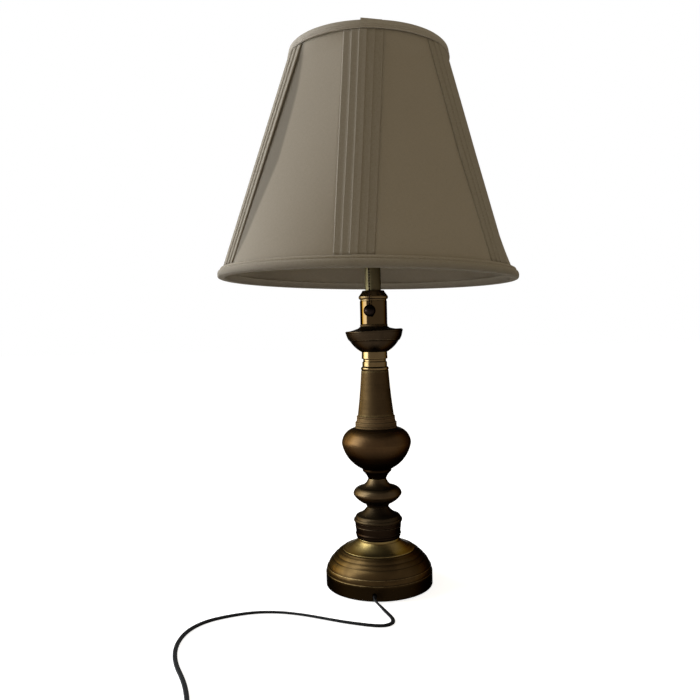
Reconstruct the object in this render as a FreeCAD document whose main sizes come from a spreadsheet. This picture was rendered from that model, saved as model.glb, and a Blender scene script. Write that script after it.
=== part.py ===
# Candlestick table lamp: a stack of turned brass pieces on a threaded rod, a pull-chain
# lampholder, a harp, and a pleated shade that hangs from the harp's top.
# Millimetres, +Z up. The origin is the middle of the base's underside.
import FreeCAD
import Part
import Sketcher

import math
import os

os.makedirs("parts", exist_ok=True)
doc = FreeCAD.newDocument("candlestick_lamp")
sheet = doc.addObject("Spreadsheet::Sheet", "Sizes")
Vector = FreeCAD.Vector

# ---------------------------------------------------------------- driving sizes

GROUPS = {
    "base": dict(
        base_radius=65.0, band_height=17.1, rim_round=1.6, rim_gap=0.7, shell_height=43.3,
        shell_wall=2.2, top_plate=2.5, ledge=1.0, ledge_rise=0.6,
        step_one_radius=63.2, step_one_height=23.3, step_two_radius=57.4, step_two_height=32.2,
        step_three_radius=52.8, step_three_height=36.9, step_four_radius=47.8, step_four_height=41.3,
        felt_thickness=1.5, weight_clearance=0.6, weight_thickness=12.5, boss_radius=22.0,
        recess_radius=15.0, recess_depth=20.5, channel_width=6.0, channel_height=9.2,
        slot_width=4.8, slot_height=10.0, slot_angle=-5.3),
    "bell": dict(foot_radius=44.0, foot_lip=0.9, bell_height=13.3, bell_wall=5.0, bell_plate=2.5),
    "drum": dict(
        drum_foot_radius=25.8, drum_radius=27.1, drum_height=22.0, drum_wall=4.0, drum_flare=1.7,
        bead_height=4.2, bead_width=2.6, line_height=16.2, line_depth=0.6, line_width=1.2),
    "cap": dict(cap_radius=29.1, cap_height=15.3, lip_width=2.6, cap_shoulder_radius=26.4,
                cap_shoulder_height=5.6),
    "knob": dict(lower_neck_radius=13.1, knob_radius=29.2, knob_height=34.7, knob_band_height=15.3,
                 knob_band_width=2.8, knob_cove_radius=16.2, knob_cove_height=4.6,
                 knob_shoulder_radius=22.0, knob_shoulder_height=24.6),
    "vase": dict(upper_neck_radius=11.05, vase_radius=42.3, vase_height=62.1, vase_wall=4.0,
                 belly_height=43.6, vase_bead_radius=17.6, vase_bead_height=8.4, vase_bead_width=3.0,
                 vase_mouth_radius=26.6, vase_mouth_wall=6.0, vase_floor=15.0,
                 vase_floor_radius=13.0),
    "collar": dict(collar_radius=25.2, collar_height=14.8, collar_ring_width=2.2,
                   collar_band_height=3.0, collar_band_width=4.2, collar_cove_radius=23.4,
                   collar_top_radius=22.9, collar_top_width=2.3, collar_edge=0.6),
    "column": dict(column_base_radius=22.2, column_top_radius=16.7, column_height=55.2,
                   column_wall=3.0, ring_seat_radius=15.6, ring_height=4.6),
    "neck": dict(neck_band_radius=15.1, neck_groove_radius=14.0, neck_top_radius=15.8,
                 neck_height=18.1, neck_groove_height=6.4, neck_groove_width=2.8, neck_chamfer=0.6),
    "pan": dict(pan_foot_radius=16.0, pan_radius=35.0, pan_height=24.0, pan_ledge_radius=29.4,
                pan_ledge_height=13.0, pan_ledge=2.0, pan_wall=2.0, pan_seat_depth=1.9,
                pan_seat=2.4, pan_floor=3.5, lid_thickness=1.3, lid_height=8.6, lid_clearance=0.3,
                lid_shoulder_radius=21.5, lid_shoulder_height=3.6, lid_hub_radius=17.2),
    "candle": dict(candle_ring_radius=16.4, candle_ring_height=2.6, candle_radius=16.0,
                   candle_wall=1.2, candle_height=28.4, candle_cap_radius=17.5,
                   candle_cap_height=12.6, candle_groove=0.5, candle_groove_height=1.9,
                   candle_cone_radius=12.6, candle_cone_height=11.2, candle_rim_width=3.6,
                   tube_radius=9.5, tube_wall=1.5, tube_height=64.3),
    "rod": dict(rod_radius=4.85, rod_bore=3.3, rod_stub=1.5, rod_reach=7.0, bore_clearance=0.35,
                thread_clearance=0.12, washer_radius=13.0, washer_thickness=1.5,
                nut_radius=8.1, nut_height=5.0),
    "harp": dict(saddle_thickness=2.0, saddle_width=13.0, harp_foot=28.0, ear_height=8.0,
                 ear_width=4.6, harp_wire_radius=1.6, harp_leg=34.0, harp_height=203.0,
                 harp_spread=58.0, harp_waist=92.0, harp_shoulder=30.0, harp_shoulder_drop=26.0,
                 sleeve_radius=3.9, sleeve_bore=3.0, sleeve_height=13.0, sleeve_gap=0.3,
                 stud_radius=3.15, stud_height=10.0, stud_seat_radius=6.5, stud_seat_height=4.0),
    "socket": dict(socket_radius=17.0, socket_wall=0.6, socket_cap_height=17.0,
                   socket_shell_height=46.0, cap_overlap=4.0, liner_wall=0.7, socket_fit=0.15,
                   hub_radius=7.5, hub_height=8.0, socket_body_height=13.0, body_drop=1.0,
                   screw_shell_radius=14.0, screw_shell_wall=0.4, screw_shell_height=27.0,
                   contact_radius=4.0, contact_height=2.5, terminal_radius=2.4,
                   terminal_length=3.0, terminal_offset=9.6, rotor_radius=4.4,
                   rotor_thickness=4.0, rotor_offset=7.5, rotor_pin_radius=1.0,
                   rotor_clearance=0.4, pin_clearance=0.05, pin_length=9.0,
                   set_screw_radius=1.5, set_screw_length=3.4, set_screw_height=4.0),
    "chain": dict(chain_reach=27.0, chain_angle=-10.0, bead_radius=1.2, bead_pitch=3.4,
                  link_radius=0.5, bead_count=31, ball_radius=6.6, guide_radius=3.4,
                  guide_bore=1.8, guide_length=16.0, guide_lip=0.9, stub_radius=2.6,
                  stub_clearance=0.4, chain_in_guide=12.6),
    "bulb": dict(bulb_radius=30.0, bulb_neck_radius=13.4, bulb_length=88.0, bulb_neck_length=8.0,
                 bulb_wall=0.8, bulb_cap_height=24.0, bulb_cap_radius=13.1, bulb_cap_wall=0.4,
                 bulb_cap_taper=3.5, bulb_crown=1.5, bulb_gap=0.3, bulb_tip_radius=3.5,
                 bulb_tip_height=1.6),
    "finial": dict(finial_radius=9.0, finial_height=30.0, finial_base_radius=7.5, finial_gap=0.4,
                   finial_base_height=1.6, finial_waist_radius=4.9, finial_waist_height=7.0,
                   finial_widest=15.0, finial_point=0.8, finial_bore_depth=11.0, finial_clearance=0.3),
    "shade": dict(shade_lean=1.5, shade_height=273.5, recess=18.2, cover_bottom_radius=176.3,
                  cover_top_radius=91.9, cover_wall=0.8, lining_wall=0.6, strut_radius=1.0,
                  strut_gap=0.2, ring_radius=1.4, ring_inset=2.1, fabric_inset=3.9,
                  top_trim_height=12.9, bottom_trim_height=12.3, top_trim_reach=3.6,
                  bottom_trim_reach=5.3, trim_edge=2.4, trim_round=1.6, trim_fold=0.6,
                  trim_gap=0.3, trim_inside=8.5, rib_width=40.0, rib_thickness=2.3,
                  rib_angle=-5.0, rib_count=6, spider_radius=10.5, spider_bore=3.6,
                  spider_thickness=1.6, spider_gap=0.3, arm_radius=1.0, arm_flat=36.0,
                  arm_rise_end=68.0, arm_count=3, arm_clearance=0.15),
    "cord": dict(cord_radius=2.0, cord_exit_height=6.0, lead_bend=7.5, coil_inner=14.8,
                 coil_turns=8.193, coil_gap=0.5, coil_lift=0.9, coil_x=-115.0, coil_y=-345.0,
                 coil_start=200.5, tie_thickness=0.6, tie_width=8.0, tie_gap=0.15,
                 tie_slack=0.7, plug_length=26.0, plug_width=22.0, plug_round=3.0,
                 blade_length=17.0, blade_width=6.3, blade_thickness=1.5, blade_spacing=12.7,
                 tail_length=32.0, knot_radius=3.2, wire_radius=1.1),
}

row = 0
for group, entries in GROUPS.items():
    for alias, number in entries.items():
        row += 1
        sheet.set(f"A{row}", group)
        sheet.set(f"B{row}", str(number))
        sheet.setAlias(f"B{row}", alias)
doc.recompute()


class Size:
    """A number with the spreadsheet formula that gives it."""

    def __init__(self, formula, value):
        self.formula = formula
        self.value = value

    def __add__(self, other):
        other = size(other)
        return Size(f"({self.formula} + {other.formula})", self.value + other.value)

    def __sub__(self, other):
        other = size(other)
        return Size(f"({self.formula} - {other.formula})", self.value - other.value)

    def __mul__(self, other):
        other = size(other)
        return Size(f"({self.formula} * {other.formula})", self.value * other.value)

    def __truediv__(self, other):
        other = size(other)
        return Size(f"({self.formula} / {other.formula})", self.value / other.value)

    def __neg__(self):
        return size(0) - self

    __radd__ = __add__
    __rmul__ = __mul__

    def __rsub__(self, other):
        return size(other) - self

    def __rtruediv__(self, other):
        return size(other) / self


def size(number):
    return number if isinstance(number, Size) else Size(repr(float(number)), float(number))


def hypot(across, up):
    across, up = size(across), size(up)
    return Size(f"hypot({across.formula}; {up.formula})", math.hypot(across.value, up.value))


class Sheet:
    """Reads a named size from the spreadsheet."""

    def __getattr__(self, alias):
        return Size(f"Sizes.{alias}", float(getattr(sheet, alias)))


s = Sheet()

# ---------------------------------------------------------------- helpers


def bind(thing, path, number):
    """Ties a property to the spreadsheet."""
    thing.setExpression(path, size(number).formula)


def named(thing, label):
    thing.Label = label
    return thing


def place(thing, x=0, y=0, z=0):
    for axis, number in (("x", x), ("y", y), ("z", z)):
        bind(thing, f"Placement.Base.{axis}", number)
    return thing


def turned(label, outline, z):
    """A turned piece: its outline is points (radius, height) going round anticlockwise. A third
    number is the swell of the side that leads to the point: its rise over half its length,
    positive where it swells to the right of the way round."""
    body = doc.addObject("PartDesign::Body", label)
    sketch = body.newObject("Sketcher::SketchObject", f"{label}_outline")
    plane = next(f for f in body.Origin.OriginFeatures if f.Role == "XZ_Plane")
    sketch.AttachmentSupport = (plane, [""])
    sketch.MapMode = "FlatFace"
    points = [(size(p[0]), size(p[1]), p[2] if len(p) > 2 else 0.0) for p in outline]
    sides = []
    for i, (r1, z1, _) in enumerate(points):
        r2, z2, swell = points[(i + 1) % len(points)]
        a, b = Vector(r1.value, z1.value, 0), Vector(r2.value, z2.value, 0)
        if not swell:
            sides.append((sketch.addGeometry(Part.LineSegment(a, b)), 1, 2))
            continue
        start, end = (a, b) if swell > 0 else (b, a)
        run, k = end - start, abs(swell)
        radius = run.Length * (1 + k * k) / (4 * k)
        left = Vector(-run.y, run.x, 0).normalize()
        middle = (start + end) / 2 + left * (radius - k * run.Length / 2)
        first = math.atan2(start.y - middle.y, start.x - middle.x)
        last = math.atan2(end.y - middle.y, end.x - middle.x)
        last += 2 * math.pi if last < first else 0
        circle = Part.Circle(middle, Vector(0, 0, 1), radius)
        index = sketch.addGeometry(Part.ArcOfCircle(circle, first, last))
        sides.append((index, 1, 2) if swell > 0 else (index, 2, 1))
        tie = sketch.addConstraint(Sketcher.Constraint("Radius", index, radius))
        bind(sketch, f"Constraints[{tie}]", hypot(r2 - r1, z2 - z1) * ((1 + k * k) / (4 * k)))
    for i, (index, first, last) in enumerate(sides):
        after = sides[(i + 1) % len(sides)]
        sketch.addConstraint(Sketcher.Constraint("Coincident", index, last, after[0], after[1]))
        for kind, number in (("DistanceX", points[i][0]), ("DistanceY", points[i][1])):
            tie = sketch.addConstraint(Sketcher.Constraint(kind, -1, 1, index, first, number.value))
            bind(sketch, f"Constraints[{tie}]", number)
    turn = body.newObject("PartDesign::Revolution", f"{label}_turn")
    turn.Profile = sketch
    turn.ReferenceAxis = (sketch, ["V_Axis"])
    turn.Angle = 360
    return place(named(body, label), z=z)


def cylinder(label, radius, height, z=0, x=0, y=0):
    thing = named(doc.addObject("Part::Cylinder", label), label)
    bind(thing, "Radius", radius)
    bind(thing, "Height", height)
    return place(thing, x, y, z)


def cone(label, bottom_radius, top_radius, height, z):
    thing = named(doc.addObject("Part::Cone", label), label)
    bind(thing, "Radius1", bottom_radius)
    bind(thing, "Radius2", top_radius)
    bind(thing, "Height", height)
    return place(thing, z=z)


def box(label, length, width, height, x, y, z):
    thing = named(doc.addObject("Part::Box", label), label)
    bind(thing, "Length", length)
    bind(thing, "Width", width)
    bind(thing, "Height", height)
    return place(thing, x, y, z)


def cut(label, base, tool):
    thing = doc.addObject("Part::Cut", label)
    thing.Base = base
    thing.Tool = tool
    return named(thing, label)


def fuse(label, *things):
    thing = doc.addObject("Part::MultiFuse", label)
    thing.Shapes = list(things)
    return named(thing, label)


def held(label, thing):
    """A piece in a frame of its own, to be turned and moved there."""
    frame = doc.addObject("Part::Compound", label)
    frame.Links = [thing]
    return named(frame, label)


def shaped(label, shape):
    thing = doc.addObject("Part::Feature", label)
    thing.Shape = shape
    return named(thing, label)


def sine(angle):
    return Size(f"sin({angle.formula})", math.sin(math.radians(angle.value)))


def cosine(angle):
    return Size(f"cos({angle.formula})", math.cos(math.radians(angle.value)))


def spin(thing, axis, angle):
    """Turns a piece about an axis through its own origin."""
    turn = FreeCAD.Rotation(axis, angle.value)
    thing.Placement = FreeCAD.Placement(thing.Placement.Base, turn)
    bind(thing, "Placement.Rotation.Angle", angle)
    return thing


def biarc(start, heading, end, heading_after):
    """Two arcs that leave start and reach end in the two given directions."""
    across = end - start
    both = heading + heading_after
    bend = 2 * (1 - heading.dot(heading_after))
    along = across.dot(both)
    if bend < 1e-9:
        reach = across.dot(across) / (2 * along)
    else:
        reach = (-along + math.sqrt(along * along + bend * across.dot(across))) / bend
    meet = (start + end + (heading - heading_after) * reach) / 2
    return [arc_from(start, heading, meet), arc_from(end, -heading_after, meet, True)]


def arc_from(start, heading, end, backwards=False):
    chord = end - start
    unit = Vector(chord).normalize()
    side = heading - unit * heading.dot(unit)
    if side.Length < 1e-7:
        return Part.LineSegment(*((end, start) if backwards else (start, end))).toShape()
    half = math.acos(max(-1.0, min(1.0, heading.dot(unit))))
    middle = (start + end) / 2 + side.normalize() * (chord.Length / 2 * math.tan(half / 2))
    points = (end, middle, start) if backwards else (start, middle, end)
    return Part.Arc(*points).toShape()


def rounded(points, bends=None):
    """Straight runs joined by tangent arcs, each as large as its two runs allow unless bends
    gives its radius. Returns the edges and the radii."""
    edges, radii, here = [], [], points[0]
    for i in range(1, len(points) - 1):
        before, after = points[i] - points[i - 1], points[i + 1] - points[i]
        turn = before.getAngle(after)
        reach = 0.45 * min(before.Length, after.Length)
        if bends and bends.get(i):
            reach = bends[i] * math.tan(turn / 2)
        radii.append(reach / math.tan(turn / 2))
        a = points[i] - Vector(before).normalize() * reach
        b = points[i] + Vector(after).normalize() * reach
        edges.append(Part.LineSegment(here, a).toShape())
        edges.append(arc_from(a, Vector(before).normalize(), b))
        here = b
    edges.append(Part.LineSegment(here, points[-1]).toShape())
    return edges, radii


def tube(edges, radius):
    """A round tube along edges, whose volume is its section times its length."""
    spine = Part.Wire(edges)
    first = edges[0]
    heading = first.tangentAt(first.FirstParameter)
    ring = Part.Circle(first.valueAt(first.FirstParameter), heading, radius)
    solid = spine.makePipeShell([Part.Wire([ring.toShape()])], True, False)
    share = solid.Volume / (math.pi * radius ** 2 * spine.Length)
    if abs(share - 1) > 0.01:
        raise ValueError(f"a tube's volume is {share:.3f} of its section times its length")
    return solid


nodes = []


def node(thing):
    """Marks a finished piece of the lamp."""
    nodes.append(thing)
    return thing


bore = s.rod_radius + s.bore_clearance

# Heights of the seats, from the floor up.
shell_z = s.rim_gap
bell_z = shell_z + s.shell_height
drum_z = bell_z + s.bell_height
cap_z = drum_z + s.drum_height
knob_z = cap_z + s.cap_height
vase_z = knob_z + s.knob_height
collar_z = vase_z + s.vase_height
column_z = collar_z + s.collar_height
ring_z = column_z + s.column_height
neck_z = ring_z + s.ring_height
pan_z = neck_z + s.neck_height
lid_z = pan_z + s.pan_height - s.pan_seat_depth
candle_ring_z = lid_z + s.lid_height
candle_z = candle_ring_z + s.candle_ring_height
candle_cap_z = candle_z + s.candle_height
tube_z = candle_cap_z + s.candle_cap_height
saddle_z = tube_z + s.tube_height
socket_z = saddle_z + s.saddle_thickness
harp_top = saddle_z + s.harp_height
pivot_z = harp_top + s.spider_gap

# ---------------------------------------------------------------- base


def cord_slot():
    """A notch in the base's wall, open at the rim and round at the top."""
    half = s.slot_width / 2
    straight = s.slot_height - half
    sides = box("slot_sides", s.slot_width, s.base_radius, straight, -half, -s.base_radius - 1, 0)
    arch = cylinder("slot_arch", half, s.base_radius, z=straight, y=-1)
    arch.Placement.Rotation = FreeCAD.Rotation(Vector(1, 0, 0), 90)
    slot = fuse("slot_cutter", sides, arch)
    spin(slot, Vector(0, 0, 1), s.slot_angle)
    return place(slot, z=shell_z)


steps = [
    (s.step_one_radius, s.step_one_height), (s.step_two_radius, s.step_two_height),
    (s.step_three_radius, s.step_three_height), (s.step_four_radius, s.step_four_height)]
outline = [
    (s.base_radius - s.shell_wall, 0), (s.base_radius - s.rim_round, 0),
    (s.base_radius, s.rim_round, 0.41), (s.base_radius, s.band_height)]
for radius, height in steps:
    outline.append((outline[-1][0] - s.ledge, outline[-1][1] + s.ledge_rise))
    outline.append((radius, height, 0.14))
outline += [
    (s.step_four_radius - s.ledge, s.step_four_height + s.ledge_rise),
    (s.foot_radius + 0.4, s.shell_height, 0.1), (bore, s.shell_height),
    (bore, s.shell_height - s.top_plate),
    (s.step_four_radius - s.shell_wall - s.ledge, s.shell_height - s.top_plate),
    (s.base_radius - s.shell_wall, s.band_height - s.shell_wall)]
shell = turned("base_shell_turned", outline, shell_z)
node(cut("base_shell", shell, cord_slot()))

node(cylinder("felt_pad", s.base_radius - s.shell_wall - s.weight_clearance, s.felt_thickness))

weight_radius = s.base_radius - s.shell_wall - s.weight_clearance
boss_height = shell_z + s.shell_height - s.top_plate - s.felt_thickness
weight = turned("base_weight_turned", [
    (s.recess_radius, 0), (weight_radius, 0), (weight_radius, s.weight_thickness),
    (s.boss_radius, s.weight_thickness), (s.boss_radius, boss_height), (bore, boss_height),
    (bore, s.recess_depth), (s.recess_radius, s.recess_depth)], s.felt_thickness)
channel = box("channel_cutter", s.channel_width, s.base_radius, s.channel_height,
              -s.channel_width / 2, -s.base_radius, 0)
turned_channel = spin(held("channel_turned", channel), Vector(0, 0, 1), s.slot_angle)
node(cut("base_weight", weight, place(turned_channel, z=s.felt_thickness)))

washer_z = s.felt_thickness + s.recess_depth - s.washer_thickness
nut_z = washer_z - s.nut_height
rod_z = nut_z - s.rod_stub
rod_length = socket_z + s.rod_reach - rod_z
node(cut("base_washer", cylinder("washer_disc", s.washer_radius, s.washer_thickness, washer_z),
         cylinder("washer_hole", bore, s.washer_thickness, washer_z)))
hexagon = named(doc.addObject("Part::Prism", "nut_hexagon"), "nut_hexagon")
hexagon.Polygon = 6
bind(hexagon, "Circumradius", s.nut_radius)
bind(hexagon, "Height", s.nut_height)
place(hexagon, z=nut_z)
thread = s.rod_radius + s.thread_clearance
node(cut("rod_nut", hexagon, cylinder("nut_thread", thread, s.nut_height, nut_z)))
node(cut("threaded_rod", cylinder("rod_bar", s.rod_radius, rod_length, rod_z),
         cylinder("rod_hole", s.rod_bore, rod_length, rod_z)))

# ---------------------------------------------------------------- turned stem

node(turned("base_bell", [
    (s.foot_radius - s.bell_wall, 0), (s.foot_radius, 0), (s.foot_radius, s.foot_lip),
    (s.drum_foot_radius, s.bell_height - s.bell_plate, -0.14), (s.drum_foot_radius, s.bell_height),
    (bore, s.bell_height), (bore, s.bell_height - s.bell_plate),
    (s.drum_foot_radius - s.bell_wall, s.bell_height - s.bell_plate)], bell_z))

bead_top = s.bead_height + s.bead_width
line_top = s.line_height + s.line_width
flare_radius = s.drum_radius + s.drum_flare
node(turned("stem_drum", [
    (s.drum_foot_radius - s.drum_wall, 0), (s.drum_foot_radius, 0),
    (s.drum_radius, s.bead_height - 1.0, 0.2), (s.drum_radius, s.bead_height),
    (s.drum_radius, bead_top, 0.5), (s.drum_radius, bead_top + 1.0),
    (flare_radius - 0.4, s.line_height), (flare_radius - s.line_depth - 0.4, s.line_height + 0.4),
    (flare_radius - 0.3, line_top), (flare_radius, s.drum_height),
    (flare_radius - s.drum_wall, s.drum_height)], drum_z))

node(turned("drum_cap", [
    (bore, 0), (s.cap_radius, 0), (s.cap_radius, s.lip_width, 0.4),
    (s.cap_radius - s.ledge, s.lip_width + 0.4),
    (s.cap_shoulder_radius, s.cap_shoulder_height, 0.15),
    (s.cap_shoulder_radius - s.ledge, s.cap_shoulder_height + 0.5),
    (s.lower_neck_radius, s.cap_height, -0.17), (bore, s.cap_height)], cap_z))

node(turned("stem_knob", [
    (bore, 0), (s.lower_neck_radius, 0), (s.knob_cove_radius, s.knob_cove_height, -0.15),
    (s.knob_radius, s.knob_band_height, 0.16),
    (s.knob_radius, s.knob_band_height + s.knob_band_width, 0.2),
    (s.knob_shoulder_radius, s.knob_shoulder_height, 0.3),
    (s.upper_neck_radius, s.knob_height, -0.28), (bore, s.knob_height)], knob_z))

mouth = s.vase_mouth_radius - s.vase_mouth_wall
node(turned("stem_vase", [
    (bore, 0), (s.upper_neck_radius, 0), (s.vase_bead_radius - 1.0, s.vase_bead_height, -0.12),
    (s.vase_bead_radius, s.vase_bead_height + s.vase_bead_width, 0.35),
    (s.vase_bead_radius - 0.3, s.vase_bead_height + s.vase_bead_width + 0.5),
    (s.vase_radius, s.belly_height, 0.25), (s.vase_mouth_radius, s.vase_height, 0.36),
    (mouth, s.vase_height), (mouth, s.vase_height - s.vase_wall),
    (s.vase_radius - 2 * s.vase_wall, s.belly_height + s.vase_wall),
    (s.vase_radius - 2 * s.vase_wall, s.belly_height - s.vase_wall),
    (s.vase_floor_radius, s.vase_floor + 2.0), (bore, s.vase_floor)], vase_z))

band_top = s.collar_band_height + s.collar_band_width
ring_foot = s.collar_height - s.collar_top_width
node(turned("vase_collar", [
    (bore, 0), (s.collar_radius, 0), (s.collar_radius, s.collar_ring_width, 0.4),
    (s.collar_radius - s.collar_edge, s.collar_ring_width + 0.3),
    (s.collar_radius, s.collar_band_height), (s.collar_radius, band_top),
    (s.collar_cove_radius + s.collar_edge, band_top + s.collar_edge),
    (s.collar_cove_radius, ring_foot - s.collar_edge, -0.1), (s.collar_top_radius, ring_foot),
    (s.collar_top_radius, s.collar_height, 0.5), (bore, s.collar_height)], collar_z))

node(turned("stem_column", [
    (s.column_base_radius - s.column_wall, 0), (s.column_base_radius, 0),
    (s.column_top_radius, s.column_height, -0.02),
    (s.column_top_radius - s.column_wall, s.column_height)], column_z))

node(turned("column_ring", [
    (bore, 0), (s.ring_seat_radius, 0), (s.ring_seat_radius, s.ring_height, 0.6),
    (bore, s.ring_height)], ring_z))

groove_top = s.neck_groove_height + s.neck_groove_width
node(turned("stem_neck", [
    (bore, 0), (s.neck_band_radius, 0), (s.neck_band_radius, s.neck_groove_height - s.neck_chamfer),
    (s.neck_groove_radius, s.neck_groove_height), (s.neck_groove_radius, groove_top),
    (s.neck_top_radius, groove_top + s.neck_chamfer), (s.neck_top_radius - 0.3, s.neck_height),
    (bore, s.neck_height)], neck_z))

# ---------------------------------------------------------------- drip pan and candle

pan_inside = s.pan_radius - s.pan_wall
seat_top = s.pan_height - s.pan_seat_depth
node(turned("drip_pan", [
    (bore, 0), (s.pan_foot_radius, 0), (s.pan_ledge_radius, s.pan_ledge_height, 0.12),
    (s.pan_ledge_radius + s.pan_ledge, s.pan_ledge_height + s.ledge_rise),
    (s.pan_radius, s.pan_height - 1.2, 0.1), (s.pan_radius - 0.8, s.pan_height, 0.4),
    (pan_inside, s.pan_height), (pan_inside, seat_top), (pan_inside - s.pan_seat, seat_top),
    (s.pan_ledge_radius - s.pan_wall, s.pan_ledge_height + s.pan_wall),
    (s.pan_foot_radius - s.pan_wall, s.pan_floor), (bore, s.pan_floor)], pan_z))

lid_radius = pan_inside - s.lid_clearance
node(turned("pan_lid", [
    (lid_radius - s.pan_seat, 0), (lid_radius, 0), (lid_radius, s.lid_thickness),
    (s.lid_shoulder_radius, s.lid_shoulder_height + s.lid_thickness, -0.06),
    (s.lid_hub_radius, s.lid_height, -0.2), (bore, s.lid_height),
    (bore, s.lid_height - s.lid_thickness),
    (s.lid_hub_radius - s.lid_thickness, s.lid_height - s.lid_thickness),
    (s.lid_shoulder_radius - s.lid_thickness, s.lid_shoulder_height, 0.2)], lid_z))

node(turned("candle_ring", [
    (bore, 0), (s.candle_ring_radius, 0), (s.candle_ring_radius, s.candle_ring_height, 0.4),
    (bore, s.candle_ring_height)], candle_ring_z))
candle_inside = s.candle_radius - s.candle_wall
node(cut("candle_sleeve", cylinder("candle_bar", s.candle_radius, s.candle_height, candle_z),
         cylinder("candle_bore", candle_inside, s.candle_height, candle_z)))
rim_top = s.candle_groove_height + s.candle_rim_width
node(turned("candle_cap", [
    (bore, 0), (s.candle_radius - s.candle_groove, 0),
    (s.candle_radius - s.candle_groove, s.candle_groove_height),
    (s.candle_cap_radius - 0.4, s.candle_groove_height + 0.8),
    (s.candle_cap_radius - 0.2, rim_top, 0.12),
    (s.candle_cone_radius, s.candle_cone_height), (s.candle_cone_radius, s.candle_cap_height),
    (bore, s.candle_cap_height)], candle_cap_z))
node(cut("neck_tube", cylinder("neck_bar", s.tube_radius, s.tube_height, tube_z),
         cylinder("neck_bore", s.tube_radius - s.tube_wall, s.tube_height, tube_z)))

# ---------------------------------------------------------------- harp

ear_x = s.harp_foot - s.saddle_thickness / 2
strap = box("saddle_strap", s.harp_foot * 2 + s.saddle_width, s.saddle_width, s.saddle_thickness,
            -s.harp_foot - s.saddle_width / 2, -s.saddle_width / 2, saddle_z)
ears = [box(f"saddle_ear_{side}", s.saddle_thickness, s.ear_width, s.ear_height, x,
            -s.ear_width / 2, socket_z)
        for side, x in (("left", -ear_x - s.saddle_thickness), ("right", ear_x))]
node(cut("harp_saddle", fuse("saddle_bent", strap, *ears),
         cylinder("saddle_hole", thread, s.saddle_thickness, saddle_z)))


def harp_wire():
    """A bowed wire whose two legs stand on the saddle's ears."""
    foot = socket_z.value + s.ear_height.value
    crown = harp_top.value - s.stud_seat_height.value - s.harp_wire_radius.value
    half = [
        (s.harp_foot.value, foot), (s.harp_foot.value, socket_z.value + s.harp_leg.value),
        (s.harp_spread.value, socket_z.value + s.harp_waist.value - 14.0),
        (s.harp_spread.value, socket_z.value + s.harp_waist.value + 22.0),
        (s.harp_shoulder.value, crown - s.harp_shoulder_drop.value * 0.55),
        (s.harp_shoulder.value * 0.55, crown)]
    right = [Vector(x, 0, z) for x, z in half]
    left = [Vector(-x, 0, z) for x, z in reversed(half)]
    edges, radii = rounded(right + left)
    print("harp bend radii", [round(radius) for radius in radii])
    return tube(edges, s.harp_wire_radius.value)


node(shaped("harp_wire", harp_wire()))
sleeve_z = socket_z + s.sleeve_gap
for side, x in (("left", -s.harp_foot), ("right", s.harp_foot)):
    node(cut(f"harp_sleeve_{side}",
             cylinder(f"sleeve_bar_{side}", s.sleeve_radius, s.sleeve_height, sleeve_z, x),
             cylinder(f"sleeve_bore_{side}", s.sleeve_bore, s.sleeve_height, sleeve_z, x)))
node(turned("harp_stud", [
    (0, 0), (s.stud_seat_radius, 0), (s.stud_seat_radius, s.stud_seat_height),
    (s.stud_radius, s.stud_seat_height), (s.stud_radius, s.stud_seat_height + s.stud_height),
    (0, s.stud_seat_height + s.stud_height)], harp_top - s.stud_seat_height))

# ---------------------------------------------------------------- lampholder

toward_chain = FreeCAD.Rotation(Vector(0, 0, 1), s.chain_angle.value)
lying = FreeCAD.Rotation(Vector(1, 0, 0), 90)
body_z = socket_z + s.socket_cap_height - s.cap_overlap + s.body_drop
body_top = body_z + s.socket_body_height
stub_z = body_z + s.socket_body_height / 2


def towards_chain(label, radius, length, start, z):
    """A cylinder lying along the way from the lamp's axis to the pull chain."""
    thing = cylinder(label, radius, length)
    thing.Placement = FreeCAD.Placement(Vector(), toward_chain.multiply(lying))
    return place(thing, sine(s.chain_angle) * start, -(cosine(s.chain_angle) * start), z)


shell_radius = s.socket_radius - s.socket_wall - s.socket_fit
shell_bore = shell_radius - s.socket_wall
liner_radius = shell_bore - s.socket_fit
liner_bore = liner_radius - s.liner_wall
body_radius = liner_bore - s.socket_fit
shell_foot = socket_z + s.socket_cap_height - s.cap_overlap
stub_hole = s.stub_radius + s.stub_clearance

cap_inside = s.socket_radius - s.socket_wall
cap = turned("socket_cap_turned", [
    (bore, 0), (s.hub_radius, 0), (s.hub_radius + 1.0, 2.0),
    (s.socket_radius, s.socket_cap_height - s.cap_overlap, 0.25),
    (s.socket_radius, s.socket_cap_height), (cap_inside, s.socket_cap_height),
    (cap_inside, s.socket_cap_height - s.cap_overlap),
    (s.hub_radius + 1.5, s.hub_height - 1.5), (s.hub_radius, s.hub_height),
    (bore, s.hub_height)], socket_z)
screw_z = socket_z + s.set_screw_height
screw_hole = cylinder("set_screw_hole", s.set_screw_radius + s.thread_clearance,
                      s.socket_radius, screw_z)
screw_hole.Placement.Rotation = FreeCAD.Rotation(Vector(1, 0, 0), -90)
node(cut("socket_cap", cap, screw_hole))
set_screw = cylinder("socket_set_screw", s.set_screw_radius, s.set_screw_length, screw_z,
                     y=s.rod_radius)
set_screw.Placement.Rotation = FreeCAD.Rotation(Vector(1, 0, 0), -90)
node(set_screw)

shell_tube = cut("socket_shell_tube",
                 cylinder("socket_shell_bar", shell_radius, s.socket_shell_height, shell_foot),
                 cylinder("socket_shell_bore", shell_bore, s.socket_shell_height, shell_foot))
node(cut("socket_shell", shell_tube,
         towards_chain("shell_hole", stub_hole, s.socket_radius, 5, stub_z)))
liner_tube = cut("socket_liner_tube",
                 cylinder("liner_bar", liner_radius, s.socket_shell_height, shell_foot),
                 cylinder("liner_bore", liner_bore, s.socket_shell_height, shell_foot))
node(cut("socket_liner", liner_tube,
         towards_chain("liner_hole", stub_hole, s.socket_radius, 5, stub_z)))


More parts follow.
